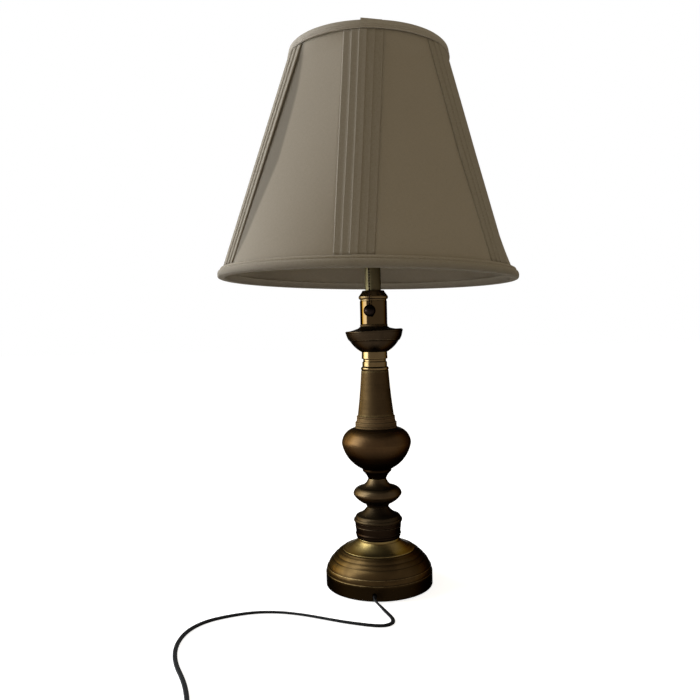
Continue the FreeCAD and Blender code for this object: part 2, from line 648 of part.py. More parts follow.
def crosswise(label, radius, length, z):
    """A cylinder across the way to the pull chain, at the switch rotor's centre."""
    thing = cylinder(label, radius, length)
    across = FreeCAD.Rotation(Vector(0, 0, 1), s.chain_angle.value)
    thing.Placement = FreeCAD.Placement(
        Vector(), across.multiply(FreeCAD.Rotation(Vector(0, 1, 0), 90)))
    x = sine(s.chain_angle) * s.rotor_offset - cosine(s.chain_angle) * length / 2
    y = -(cosine(s.chain_angle) * s.rotor_offset) - sine(s.chain_angle) * length / 2
    return place(thing, x, y, z)


pocket = fuse(
    "switch_pocket",
    crosswise("rotor_pocket", s.rotor_radius + s.rotor_clearance,
              s.rotor_thickness + s.rotor_clearance * 2, stub_z),
    crosswise("pin_hole", s.rotor_pin_radius, s.pin_length, stub_z),
    towards_chain("chain_way", s.guide_bore, s.socket_radius, s.rotor_offset, stub_z))
node(cut("socket_body", cylinder("socket_body_block", body_radius, s.socket_body_height, body_z),
         pocket))
node(cut("switch_rotor",
         crosswise("rotor_disc", s.rotor_radius, s.rotor_thickness, stub_z),
         crosswise("rotor_bore", s.rotor_pin_radius + s.pin_clearance, s.rotor_thickness, stub_z)))
node(crosswise("switch_pin", s.rotor_pin_radius, s.pin_length, stub_z))
node(cut("screw_shell",
         cylinder("screw_shell_bar", s.screw_shell_radius, s.screw_shell_height, body_top),
         cylinder("screw_shell_bore", s.screw_shell_radius - s.screw_shell_wall,
                  s.screw_shell_height, body_top)))
node(cylinder("centre_contact", s.contact_radius, s.contact_height, body_top))
node(fuse("terminal_screws", *[
    cylinder(f"terminal_{side}", s.terminal_radius, s.terminal_length,
             body_z - s.terminal_length, x)
    for side, x in (("left", -s.terminal_offset), ("right", s.terminal_offset))]))

# ---------------------------------------------------------------- pull chain

chain_x = sine(s.chain_angle) * s.chain_reach
chain_y = -(cosine(s.chain_angle) * s.chain_reach)
spout_top = stub_z + s.stub_radius
spout_z = spout_top - s.guide_length
chain_top = spout_z + s.chain_in_guide
way_depth = s.guide_length - s.stub_radius
spout = turned("guide_spout", [
    (s.guide_bore, 0), (s.guide_radius, 0), (s.guide_radius, 1.6, 0.8),
    (s.guide_radius - s.guide_lip, 2.6), (s.guide_radius - s.guide_lip, s.guide_length),
    (0, s.guide_length), (0, way_depth + 2.0), (s.guide_bore, way_depth + 2.0)], spout_z)
place(spout, chain_x, chain_y, spout_z)
stub_length = s.chain_reach - body_radius - s.guide_bore
stub = towards_chain("guide_stub", s.stub_radius, stub_length, body_radius, stub_z - 0.2)
node(fuse("chain_guide", spout, stub))


def bead_chain():
    """Ball chain: hollow beads on a link wire, with the last link held by the pull ball."""
    pitch, radius = s.bead_pitch.value, s.bead_radius.value
    x, y, top = chain_x.value, chain_y.value, chain_top.value
    count = int(s.bead_count.value)
    beads = [Part.makeSphere(radius, Vector(x, y, top - radius - i * pitch)) for i in range(count)]
    length = count * pitch - radius
    link = Part.makeCylinder(s.link_radius.value, length, Vector(x, y, top - radius - length))
    return link.multiFuse(beads)


node(shaped("pull_chain", bead_chain()))
ball_z = chain_top - s.bead_count * s.bead_pitch - s.ball_radius
ball = named(doc.addObject("Part::Sphere", "pull_ball"), "pull_ball")
bind(ball, "Radius", s.ball_radius)
node(place(ball, chain_x, chain_y, ball_z))

# ---------------------------------------------------------------- bulb

tip_z = body_top + s.contact_height + s.bulb_gap
bulb_cap_z = tip_z + s.bulb_tip_height
glass_z = bulb_cap_z + s.bulb_cap_height
taper = s.bulb_cap_taper
tip_hole = s.bulb_tip_radius + s.thread_clearance
node(cylinder("bulb_tip", s.bulb_tip_radius, s.bulb_tip_height + s.bulb_cap_wall, tip_z))
node(turned("bulb_cap", [
    (tip_hole, 0), (s.bulb_cap_radius - taper, 0), (s.bulb_cap_radius, taper),
    (s.bulb_cap_radius, s.bulb_cap_height),
    (s.bulb_cap_radius - s.bulb_cap_wall, s.bulb_cap_height),
    (s.bulb_cap_radius - s.bulb_cap_wall, taper + 0.2),
    (s.bulb_cap_radius - taper - 0.2, s.bulb_cap_wall), (tip_hole, s.bulb_cap_wall)], bulb_cap_z))
glass_widest = s.bulb_length - s.bulb_radius
node(turned("bulb_glass", [
    (s.bulb_neck_radius - s.bulb_wall, 0), (s.bulb_neck_radius, 0),
    (s.bulb_neck_radius, s.bulb_neck_length), (s.bulb_radius, glass_widest, 0.1),
    (s.bulb_crown, s.bulb_length, 0.38), (0, s.bulb_length), (0, s.bulb_length - s.bulb_wall),
    (s.bulb_crown, s.bulb_length - s.bulb_wall),
    (s.bulb_radius - s.bulb_wall, glass_widest, -0.38),
    (s.bulb_neck_radius - s.bulb_wall, s.bulb_neck_length, -0.1)], glass_z))

# ---------------------------------------------------------------- finial

finial_bore = s.stud_radius + s.finial_clearance
node(turned("finial", [
    (finial_bore, 0), (s.finial_base_radius, 0), (s.finial_base_radius, s.finial_base_height, 0.3),
    (s.finial_waist_radius, s.finial_waist_height, -0.3),
    (s.finial_radius, s.finial_widest, 0.25),
    (s.finial_waist_radius - 1.0, s.finial_widest + s.finial_waist_height, 0.3),
    (s.finial_point, s.finial_height, 0.3), (0, s.finial_height), (0, s.finial_bore_depth), (finial_bore, s.finial_bore_depth)],
    pivot_z + s.spider_thickness + s.finial_gap))

# ---------------------------------------------------------------- shade

# The shade is drawn upright about the spider's underside, and hangs leaning by a small angle.
shade_top = s.recess
shade_bottom = s.recess - s.shade_height


def lean(thing):
    bind(thing, "Placement.Base.z", pivot_z)
    return spin(thing, Vector(0, 1, 0), s.shade_lean)


def cover_at(z):
    """The cover's outer radius at a height."""
    share = (z - shade_bottom) / s.shade_height
    return s.cover_bottom_radius + (s.cover_top_radius - s.cover_bottom_radius) * share


def conical(label, inset, wall):
    """A conical layer of the shade whose outside lies inset inside the cover's."""
    low, high = shade_bottom + s.fabric_inset, shade_top - s.fabric_inset
    height = high - low
    outer = cone(f"{label}_outer", cover_at(low) - inset, cover_at(high) - inset, height, low)
    inner = cone(f"{label}_inner", cover_at(low) - inset - wall, cover_at(high) - inset - wall,
                 height, low)
    return cut(label, outer, inner)


strut_inset = s.cover_wall + s.strut_gap + s.strut_radius
lining_inset = strut_inset + s.strut_radius + s.strut_gap
inner_inset = lining_inset + s.lining_wall + s.trim_gap
node(lean(conical("shade_cover", size(0), s.cover_wall)))
node(lean(conical("shade_lining", lining_inset, s.lining_wall)))


def ring(label, z):
    torus = named(doc.addObject("Part::Torus", label), label)
    bind(torus, "Radius1", cover_at(z) - strut_inset)
    bind(torus, "Radius2", s.ring_radius)
    return place(torus, z=z)


low_ring, high_ring = shade_bottom + s.ring_inset, shade_top - s.ring_inset
for label, z in (("shade_bottom_ring", low_ring), ("shade_top_ring", high_ring)):
    node(lean(held(label, ring(f"{label}_wire", z))))


def trim(label, edge, up, height, reach):
    """A folded band round the shade's edge: up is 1 at the bottom edge and -1 at the top."""

    def at(rise):
        return edge + rise * up

    inside = cover_at(at(s.trim_inside)) - inner_inset
    points = [
        (inside, at(s.trim_inside)), (inside - s.trim_fold, at(s.trim_inside)),
        (cover_at(at(0.5)) - inner_inset - s.trim_fold, at(0.5)),
        (cover_at(edge) - inner_inset, edge), (cover_at(edge) + reach - s.trim_round, edge),
        (cover_at(at(s.trim_round)) + reach, at(s.trim_round), 0.35 * up),
        (cover_at(at(height)) + s.trim_edge, at(height), 0.1 * up),
        (cover_at(at(height)) + s.trim_gap, at(height)),
        (cover_at(at(s.trim_fold)) + s.trim_gap, at(s.trim_fold)),
        (cover_at(at(s.trim_fold)) - inner_inset, at(s.trim_fold))]
    return turned(label, points, size(0))


node(lean(trim("shade_bottom_trim", shade_bottom, 1, s.bottom_trim_height, s.bottom_trim_reach)))
top_band = trim("top_trim_turned", shade_top, -1, s.top_trim_height, s.top_trim_reach)


def round_the_shade(count, step):
    for i in range(int(count.value)):
        yield i, s.rib_angle + i * step


arm_step = 360 / s.arm_count
notches = []
for i, angle in round_the_shade(s.arm_count, arm_step):
    notch = cylinder(f"arm_notch_{i}", s.arm_radius + s.arm_clearance,
                     cover_at(high_ring) - strut_inset)
    turn = FreeCAD.Rotation(Vector(0, 0, 1), angle.value)
    notch.Placement = FreeCAD.Placement(Vector(), turn.multiply(lying))
    notches.append(place(notch, z=high_ring))
node(lean(cut("shade_top_trim", top_band, fuse("arm_notches", *notches))))


def ribs():
    """Pleated strips of one width that run down the cover over the struts."""
    low = shade_bottom + s.bottom_trim_height + s.trim_gap
    high = shade_top - s.top_trim_height - s.trim_gap
    under = cone("rib_under", cover_at(low) + s.trim_gap, cover_at(high) + s.trim_gap,
                 high - low, low)
    over = cone("rib_over", cover_at(low) + s.trim_gap + s.rib_thickness,
                cover_at(high) + s.trim_gap + s.rib_thickness, high - low, low)
    strips = []
    for i, angle in round_the_shade(s.rib_count, 360 / s.rib_count):
        strip = box(f"rib_strip_{i}", s.rib_width, s.cover_bottom_radius * 2, high - low,
                    -s.rib_width / 2, -s.cover_bottom_radius * 2, low)
        strips.append(spin(held(f"rib_turned_{i}", strip), Vector(0, 0, 1), angle))
    common = doc.addObject("Part::Common", "shade_pleats")
    common.Base = cut("rib_layer", over, under)
    common.Tool = fuse("rib_strips", *strips)
    return named(common, "shade_pleats")


node(lean(ribs()))


def struts():
    """Straight wires from the bottom ring to the top one, each under a pleated strip."""
    low, high = (low_ring + s.ring_radius).value, (high_ring - s.ring_radius).value
    inner, outer = (cover_at(size(z)) - strut_inset for z in (high, low))
    wires = []
    for i, angle in round_the_shade(s.rib_count, 360 / s.rib_count):
        way = Vector(math.sin(math.radians(angle.value)), -math.cos(math.radians(angle.value)), 0)
        foot, head = way * outer.value + Vector(0, 0, low), way * inner.value + Vector(0, 0, high)
        run = head - foot
        wires.append(Part.makeCylinder(s.strut_radius.value, run.Length, foot, run))
    return Part.makeCompound(wires)


node(lean(shaped("shade_struts", struts())))


def spider():
    """The washer on the harp's stud, with bent arms that reach the top ring."""
    thick = s.spider_thickness.value
    washer = Part.makeCylinder(s.spider_radius.value, thick)
    hole = Part.makeCylinder(s.spider_bore.value, thick)
    end = (cover_at(high_ring) - strut_inset - s.ring_radius).value
    arms = []
    for i, angle in round_the_shade(s.arm_count, arm_step):
        way = Vector(math.sin(math.radians(angle.value)), -math.cos(math.radians(angle.value)), 0)
        stations = [((s.spider_radius.value + s.spider_bore.value) / 2, thick / 2),
                    (s.arm_flat.value, thick / 2), (s.arm_rise_end.value, high_ring.value),
                    (end, high_ring.value)]
        edges, radii = rounded([way * r + Vector(0, 0, z) for r, z in stations])
        arms.append(tube(edges, s.arm_radius.value))
    return washer.multiFuse(arms).cut(hole)


node(lean(shaped("shade_spider", spider())))

# ---------------------------------------------------------------- cord inside the lamp

cord = s.cord_radius.value
exit_turn = FreeCAD.Rotation(Vector(0, 0, 1), s.slot_angle.value)
exit_way = exit_turn.multVec(Vector(0, -1, 0))
exit_point = exit_way * s.base_radius.value + Vector(0, 0, s.cord_exit_height.value)
rod_top = socket_z.value + s.rod_reach.value
inside_edges, inside_radii = rounded(
    [exit_point, Vector(0, 0, exit_point.z), Vector(0, 0, rod_top)], {1: s.lead_bend.value})
node(shaped("inner_cord", tube(inside_edges, cord)))
knot_z = rod_top + s.knot_radius.value
knot = named(doc.addObject("Part::Sphere", "cord_knot"), "cord_knot")
bind(knot, "Radius", s.knot_radius)
node(place(knot, z=socket_z + s.rod_reach + s.knot_radius))
wire_z = (body_z - s.terminal_length / 2).value
knot_edge = math.sqrt(s.knot_radius.value ** 2 - (wire_z - knot_z) ** 2)
wires = []
for side in (-1, 1):
    start = Vector(side * (knot_edge - s.wire_radius.value / 2), 0, wire_z)
    length = s.terminal_offset.value - s.terminal_radius.value - abs(start.x)
    wires.append(Part.makeCylinder(s.wire_radius.value, length, start, Vector(side, 0, 0)))
node(shaped("socket_wires", Part.makeCompound(wires)))

# ---------------------------------------------------------------- free cord, coil and plug

layer = 2 * cord + s.coil_gap.value
pitch = layer
centre = Vector(s.coil_x.value, s.coil_y.value, 0)
coil_low = cord + s.coil_lift.value
half_way = math.pi * s.coil_turns.value
first_angle = math.radians(s.coil_start.value)


def coil_radius(turned_by):
    return s.coil_inner.value + pitch * abs(turned_by) / (2 * math.pi)


def coil_point(turned_by):
    """The coil's centreline. It spirals in, climbs a layer in the half turn at the middle of
    its length, and spirals out again."""
    climb = max(-1.0, min(1.0, turned_by / (math.pi / 2)))
    height = coil_low + layer * (1 + math.sin(climb * math.pi / 2)) / 2
    angle = first_angle + half_way + turned_by
    radius = coil_radius(turned_by)
    return centre + Vector(radius * math.cos(angle), radius * math.sin(angle), height)


def coil_heading(turned_by):
    angle = first_angle + half_way + turned_by
    rate = pitch / (2 * math.pi) * ((turned_by > 0) - (turned_by < 0))
    radius = coil_radius(turned_by)
    climb = layer / 2 * math.cos(turned_by) if abs(turned_by) < math.pi / 2 else 0.0
    return Vector(rate * math.cos(angle) - radius * math.sin(angle),
                  rate * math.sin(angle) + radius * math.cos(angle), climb).normalize()


def coil_edges():
    quarter = math.pi / 2
    count = int(half_way // quarter)
    stations = [-half_way] + [i * quarter for i in range(-count, count + 1)] + [half_way]
    edges = []
    for a, b in zip(stations, stations[1:]):
        edges += biarc(coil_point(a), coil_heading(a), coil_point(b), coil_heading(b))
    lead_in = coil_point(-half_way) - coil_heading(-half_way) * 2 * cord
    tail = coil_point(half_way) + coil_heading(half_way) * s.tail_length.value
    edges.insert(0, Part.LineSegment(lead_in, coil_point(-half_way)).toShape())
    edges.append(Part.LineSegment(coil_point(half_way), tail).toShape())
    return edges, lead_in, tail


def least_gap(edges, radius):
    """The smallest distance between parts of a tube that aren't next to each other along it."""
    wire = Part.Wire(edges)
    points = wire.discretize(Number=900)
    step = wire.Length / 899
    apart = int(4 * math.pi * radius / step)
    near = min(points[i].distanceToPoint(points[j])
               for i in range(len(points)) for j in range(i + apart, len(points)))
    return near - 2 * radius


wound, coil_start_point, tail_end = coil_edges()
print("coil's least gap to itself", round(least_gap(wound, cord), 3))
node(shaped("cord_coil", tube(wound, cord)))

# The cord's way down to the floor from the slot in the base, and then over it to the coil.
falling = [(-4.4, -74.2, 4.8), (-0.2, -79.8, 2.8)]
floor_route = [
    (3.6, -87.0), (6.8, -95.5), (10.4, -104.6), (13.6, -114.4), (13.6, -124.2), (6.2, -131.6),
    (-6.5, -131.2), (-21.9, -126.6), (-41.1, -119.8), (-62.7, -109.8), (-86.7, -99.3),
    (-112.5, -92.5), (-139.0, -92.8), (-163.4, -101.7), (-185.0, -114.3), (-198.0, -132.5),
    (-203.0, -153.1), (-202.7, -175.9), (-197.9, -198.2), (-189.5, -220.0), (-179.0, -240.2),
    (-169.8, -261.6), (-162.2, -285.2), (-157.2, -311.2)]
straight_out = exit_point + exit_way * 4.5
route = [exit_point, straight_out] + [Vector(*point) for point in falling]
route += [Vector(x, y, cord) for x, y in floor_route]
coil_way = coil_heading(-half_way)
before_coil = coil_start_point - coil_way * 14
route += [Vector(before_coil.x, before_coil.y, coil_low), coil_start_point]
free_edges, free_radii = rounded(route)
print("free cord's radii", [round(radius, 1) for radius in free_radii])
print("free cord", round(Part.Wire(free_edges).Length), "coil", round(Part.Wire(wound).Length))
node(shaped("free_cord", tube(free_edges, cord)))


def coil_tie():
    """A strap round all the coil's turns, on the coil's right."""
    thick, gap = s.tie_thickness.value, s.tie_gap.value
    inner = s.coil_inner.value - cord - s.tie_slack.value
    outer = coil_radius(half_way) + cord + s.tie_slack.value
    low, high = s.coil_lift.value - gap, coil_low + layer + cord + gap
    width = s.tie_width.value
    hole = Part.makeBox(outer - inner, width, high - low, Vector(inner, -width / 2, low))
    band = Part.makeBox(outer - inner + 2 * thick, width, high - low + 2 * thick,
                        Vector(inner - thick, -width / 2, low - thick))
    return band.cut(hole)


tie = shaped("cord_tie", coil_tie())
tie.Placement = FreeCAD.Placement(centre, FreeCAD.Rotation())
node(tie)

plug_height = (s.cord_radius + s.coil_lift + s.cord_radius * 2 + s.coil_gap) * 2
plug = doc.addObject("PartDesign::Body", "plug_body")
plug_block = plug.newObject("PartDesign::AdditiveBox", "plug_block")
bind(plug_block, "Length", s.plug_length)
bind(plug_block, "Width", s.plug_width)
bind(plug_block, "Height", plug_height)
doc.recompute()
plug_edges = [f"Edge{i + 1}" for i in range(len(plug_block.Shape.Edges))]
plug_rounding = plug.newObject("PartDesign::Fillet", "plug_rounding")
plug_rounding.Base = (plug_block, plug_edges)
bind(plug_rounding, "Radius", s.plug_round)
named(plug, "plug_body")
plug_turn = FreeCAD.Rotation(Vector(1, 0, 0), coil_heading(half_way))
corner = Vector(tail_end.x, tail_end.y, 0) - plug_turn.multVec(Vector(0, s.plug_width.value / 2, 0))
plug.Placement = FreeCAD.Placement(corner, plug_turn)
node(plug)


def blades():
    wide, thick, out = s.blade_width.value, s.blade_thickness.value, s.blade_length.value
    root = s.plug_length.value
    z = plug_height.value / 2 - wide / 2
    middle = s.plug_width.value / 2
    pair = []
    for side in (-1, 1):
        y = middle + side * s.blade_spacing.value / 2 - thick / 2
        pair.append(Part.makeBox(out, thick, wide, Vector(root, y, z)))
    return Part.makeCompound(pair)


pins = shaped("plug_blades", blades())
pins.Placement = FreeCAD.Placement(corner, plug_turn)
node(pins)

# ---------------------------------------------------------------- checks and files

doc.recompute()
failed = [thing.Label for thing in doc.Objects if {"Invalid", "Error"} & set(thing.State)]
failed += [thing.Label for thing in nodes if thing.Shape.isNull() or not thing.Shape.isValid()]
if failed:
    raise ValueError(f"these did not build: {failed}")
for thing in nodes:
    thing.Shape.exportStep(f"parts/{thing.Label}.step")
print(len(nodes), "pieces written")
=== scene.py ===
import math
import random

import bmesh
import bpy
from mathutils import Matrix, Vector


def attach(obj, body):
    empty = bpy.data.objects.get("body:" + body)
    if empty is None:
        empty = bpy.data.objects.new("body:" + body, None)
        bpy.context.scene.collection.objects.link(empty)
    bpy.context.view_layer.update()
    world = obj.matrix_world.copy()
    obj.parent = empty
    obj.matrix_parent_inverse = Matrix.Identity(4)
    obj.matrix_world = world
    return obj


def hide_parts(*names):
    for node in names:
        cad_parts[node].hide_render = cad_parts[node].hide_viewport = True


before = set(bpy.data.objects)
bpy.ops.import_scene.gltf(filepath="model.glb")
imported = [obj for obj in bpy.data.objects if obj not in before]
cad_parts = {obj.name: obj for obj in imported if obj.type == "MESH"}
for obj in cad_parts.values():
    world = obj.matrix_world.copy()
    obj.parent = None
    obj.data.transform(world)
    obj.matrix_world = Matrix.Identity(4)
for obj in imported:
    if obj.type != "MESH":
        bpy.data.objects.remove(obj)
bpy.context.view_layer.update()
mm = 0.001
scene = bpy.context.scene
random.seed(7)

# camera: from the photograph's own perspective, nearly level and turned a little
cameraSet = {"place": (0, -0.86, 0.30757), "yaw": -1.985, "pitch": -1.384, "roll": -1.297,
             "lens": 36.244}


def addCamera(settings):
    yaw, pitch, roll = (math.radians(settings[k]) for k in ("yaw", "pitch", "roll"))
    ahead = Vector((math.sin(yaw) * math.cos(pitch), math.cos(yaw) * math.cos(pitch), math.sin(pitch)))
    side = Vector((math.cos(yaw), -math.sin(yaw), 0))
    over = side.cross(ahead)
    right = side * math.cos(roll) + over * math.sin(roll)
    up = over * math.cos(roll) - side * math.sin(roll)
    data = bpy.data.cameras.new("photoCamera")
    data.lens, data.sensor_width = settings["lens"], 36
    data.clip_start, data.clip_end = 0.01, 50
    camera = bpy.data.objects.new("photoCamera", data)
    turn = Matrix((right, up, -ahead)).transposed().to_4x4()
    camera.matrix_world = Matrix.Translation(settings["place"]) @ turn
    scene.collection.objects.link(camera)
    scene.camera = camera


addCamera(cameraSet)
print("camera placed")

# small helpers for shader trees


class Shader:
    def __init__(self, name):
        self.material = bpy.data.materials.new(name)
        self.material.use_nodes = True
        self.tree = self.material.node_tree
        self.surface = self.tree.nodes["Principled BSDF"]
        self.output = self.tree.nodes["Material Output"]

    def add(self, kind, inputs=None, **options):
        node = self.tree.nodes.new("ShaderNode" + kind)
        for key, value in options.items():
            setattr(node, key, value)
        for key, value in (inputs or {}).items():
            self.set(node, key, value)
        return node

    def set(self, node, key, value):
        if isinstance(value, bpy.types.NodeSocket):
            self.tree.links.new(value, node.inputs[key])
        elif isinstance(value, bpy.types.Node):
            self.tree.links.new(value.outputs[0], node.inputs[key])
        else:
            node.inputs[key].default_value = value

    def finish(self, **inputs):
        for key, value in inputs.items():
            self.set(self.surface, key.replace("_", " "), value)
        return self.material

    def place(self, scale=(1, 1, 1), source="Object"):
        coords = self.add("TexCoord")
        return self.add("Mapping", {"Vector": coords.outputs[source], "Scale": scale})

    def noise(self, vector, scale, detail=3.0, rough=0.55, distortion=0.0):
        return self.add("TexNoise", {"Vector": vector, "Scale": scale, "Detail": detail,
                                     "Roughness": rough, "Distortion": distortion})

    def ramp(self, factor, stops):
        node = self.add("ValToRGB", {"Fac": factor})
        line = node.color_ramp
        while len(line.elements) < len(stops):
            line.elements.new(0.5)
        for element, (place, colour) in zip(line.elements, stops):
            element.position = place
            element.color = (*colour, 1)
        return node

    def mix(self, factor, first, second):
        # the colour sockets of a Mix node stand at 6 and 7, and its colour output at 2
        node = self.add("Mix", data_type="RGBA")
        for index, value in ((0, factor), (6, first), (7, second)):
            self.set(node, index, (*value, 1) if isinstance(value, tuple) else value)
        return node.outputs[2]

    def math(self, operation, first, second, clamp=False):
        return self.add("Math", {0: first, 1: second}, operation=operation, use_clamp=clamp)

    def spread(self, value, low, high, first=0.0, second=1.0):
        return self.add("MapRange", {"Value": value, "From Min": low, "From Max": high,
                                     "To Min": first, "To Max": second})

    def bump(self, height, strength, distance, normal=None):
        inputs = {"Height": height, "Strength": strength, "Distance": distance}
        if normal:
            inputs["Normal"] = normal
        return self.add("Bump", inputs)


# brass: lacquered and aged, with fine turning lines, darker in the grooves and lighter on the ridges,
# which is rubbed wear and partly a painted highlight; the edge tint darkens what it mirrors at
# grazing angles, where the lacquer is dull
brassGrain = {"stains": 38, "specks": 420, "lines": (18, 18, 900), "lineDepth": 0.00006,
              "speckDepth": 0.00005, "speckShare": 0.12, "edgeTint": 0.1, "paintedReflectionWander": 0.003}


def agedBrass(name, metal, patina, wear, rough=(0.2, 0.42), lines=0.25, cloud=0.5, paintedLowReflection=None):
    s = Shader(name)
    flat = s.place()
    stain = s.noise(flat, brassGrain["stains"], 5, 0.6, 0.6)
    fine = s.noise(flat, brassGrain["specks"], 3, 0.6)
    streak = s.noise(s.place(brassGrain["lines"]), 1.0, 4, 0.6)
    # wear is 0.5 on plain walls, more on ridges and less in grooves
    edge = s.add("Attribute", attribute_name="wear").outputs["Fac"]
    cover = s.spread(stain, 0.42, 0.66, 0, cloud)
    body = s.mix(cover, metal, patina)
    groove = s.spread(edge, 0.46, 0.2, 0, 0.85)
    body = s.mix(groove, body, patina)
    # painted highlight in part: the ridges' lighter colour is rubbed wear and also stands for light
    # caught on convex edges
    ridgeWearAndHighlight = s.math("MULTIPLY", s.spread(edge, 0.6, 0.95, 0, 0.8), s.spread(fine, 0.3, 0.6), True)
    body = s.mix(ridgeWearAndHighlight, body, wear)
    if paintedLowReflection:
        # painted reflection: darker below the first height, standing for a dark floor mirrored in the
        # lower surfaces; plain above the second, to the third value's share
        low, high, share = paintedLowReflection
        height = s.add("SeparateXYZ", {0: s.add("TexCoord").outputs["Object"]}).outputs["Z"]
        wander = s.spread(stain, 0, 1, -brassGrain["paintedReflectionWander"], brassGrain["paintedReflectionWander"])
        body = s.mix(s.spread(s.math("ADD", height, wander), low, high),
                     tuple(c * share for c in metal), body)
    dull = s.math("ADD", s.spread(stain, 0.35, 0.7, rough[0], rough[1]),
                  s.spread(streak, 0.35, 0.65, -0.03, 0.05))
    shape = s.bump(streak, lines, brassGrain["lineDepth"])
    shape = s.bump(fine, brassGrain["speckShare"], brassGrain["speckDepth"], shape)
    return s.finish(Base_Color=body, Metallic=1.0, Roughness=dull, Normal=shape,
                    Specular_Tint=(*[brassGrain["edgeTint"]] * 3, 1))


# painted light and shade: each piece's brass colour below is set lighter or darker to stand for the light
# and reflections that piece shows, so the differences between these copies are painted, and the vase and
# base band also get a painted dark reflection low down
darkBrass = agedBrass("darkBrass", (0.03696, 0.02296, 0.0112), (0.0168, 0.00952, 0.00448),
                      (0.080, 0.054, 0.025), rough=(0.34, 0.46))
drumBrass = agedBrass("drumBrass", (0.0091, 0.005075, 0.0028), (0.006125, 0.0035, 0.0021),
                      (0.036, 0.0235, 0.013), rough=(0.36, 0.48))
lipBrass = agedBrass("lipBrass", (0.01937, 0.01225, 0.00625), (0.01, 0.00625, 0.00325),
                     (0.06, 0.04, 0.02), rough=(0.36, 0.48))
vaseBrass = agedBrass("vaseBrass", (0.0392, 0.02072, 0.008736), (0.01736, 0.00952, 0.004256),
                      (0.065, 0.042, 0.018), rough=(0.38, 0.46), paintedLowReflection=(0.158, 0.170, 0.2))
columnBrass = agedBrass("columnBrass", (0.03294, 0.01928, 0.008296), (0.01952, 0.01159, 0.005124),
                        (0.070, 0.047, 0.020), rough=(0.56, 0.64))
neckBrass = agedBrass("neckBrass", (0.084, 0.0546, 0.0245), (0.0448, 0.028, 0.0112),
                      (0.15, 0.105, 0.045), rough=(0.15, 0.24), cloud=0.35)
tubeBrass = agedBrass("tubeBrass", (0.07573, 0.05902, 0.03006), (0.049, 0.03564, 0.01782),
                      (0.08, 0.06, 0.028), rough=(0.46, 0.54), cloud=0.35)
collarBrass = agedBrass("collarBrass", (0.0608, 0.03515, 0.01558), (0.0342, 0.01995, 0.0095),
                        (0.085, 0.057, 0.026), rough=(0.68, 0.78), cloud=0.35)
sleeveBrass = agedBrass("sleeveBrass", (0.03547, 0.02112, 0.00891), (0.02557, 0.01485, 0.0066),
                        (0.05, 0.034, 0.015), rough=(0.045, 0.075), lines=0.05, cloud=0.3)
capBrass = agedBrass("capBrass", (0.07274, 0.04629, 0.02116), (0.03968, 0.0238, 0.01058),
                     (0.10, 0.068, 0.030), rough=(0.34, 0.46))
panBronze = agedBrass("panBronze", (0.02635, 0.01734, 0.00986), (0.0153, 0.0102, 0.00612),
                      (0.15, 0.115, 0.07), rough=(0.28, 0.42))
lidBronze = agedBrass("lidBronze", (0.038, 0.0235, 0.0125), (0.017, 0.0105, 0.0058),
                      (0.13, 0.095, 0.055), rough=(0.4, 0.52))
bellBrass = agedBrass("bellBrass", (0.1155, 0.07657, 0.02699), (0.05273, 0.03264, 0.0113),
                      (0.14, 0.095, 0.038), rough=(0.28, 0.36))
bandBronze = agedBrass("bandBronze", (0.03105, 0.01748, 0.00644), (0.01265, 0.00713, 0.00299),
                       (0.095, 0.062, 0.027), rough=(0.32, 0.42), paintedLowReflection=(0.0155, 0.0195, 0.24))
ballBronze = agedBrass("ballBronze", (0.010, 0.0065, 0.0055), (0.006, 0.004, 0.0035),
                       (0.02, 0.014, 0.010), rough=(0.34, 0.5), lines=0.0)
harpBrass = agedBrass("harpBrass", (0.20, 0.135, 0.05), (0.10, 0.062, 0.024),
                      (0.28, 0.19, 0.07), rough=(0.25, 0.4), lines=0.0, cloud=0.4)
print("brass mixed")

# turned pieces: an outline in millimetres, (radius, height[, swell]), spun round the stem. A swell
# bows the wall that ends at its point: outwards where positive, a half circle at 1
turning = {"steps": 144, "edge": 0.3, "hold": 0.6, "sharpTurn": 0.3, "wearGain": 1.4}


def arcPoints(start, end, swell, steps=14):
    run = end - start
    length = run.length
    if abs(swell) < 1e-6:
        return [end]
    radius = length * (1 + swell * swell) / (4 * abs(swell))
    side = Vector((run.y, -run.x)).normalized() * (1 if swell > 0 else -1)
    middle = (start + end) / 2 - side * (radius - abs(swell) * length / 2)
    first = start - middle
    half = math.atan(abs(swell)) * 4
    sign = 1 if swell > 0 else -1
    points = []
    for i in range(1, steps + 1):
        turn = sign * half * i / steps
        points.append(middle + Vector((first.x * math.cos(turn) - first.y * math.sin(turn),
                                       first.x * math.sin(turn) + first.y * math.cos(turn))))
    points[-1] = end.copy()
    return points


def smoothByAngle(mesh, angle):
    mesh.shade_smooth()
    bm = bmesh.new()
    bm.from_mesh(mesh)
    for edge in bm.edges:
        if len(edge.link_faces) == 2 and edge.calc_face_angle(0) > math.radians(angle):
            edge.smooth = False
    bm.to_mesh(mesh)
    bm.free()


def finishPiece(name, bm, material, body, angle=32, place=None):
    mesh = bpy.data.meshes.new(name)
    if place is not None:
        bmesh.ops.transform(bm, matrix=place, verts=bm.verts)
    bm.to_mesh(mesh)
    bm.free()
    mesh.materials.append(material)
    smoothByAngle(mesh, angle)
    piece = bpy.data.objects.new(name, mesh)
    scene.collection.objects.link(piece)
    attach(piece, body)
    return piece


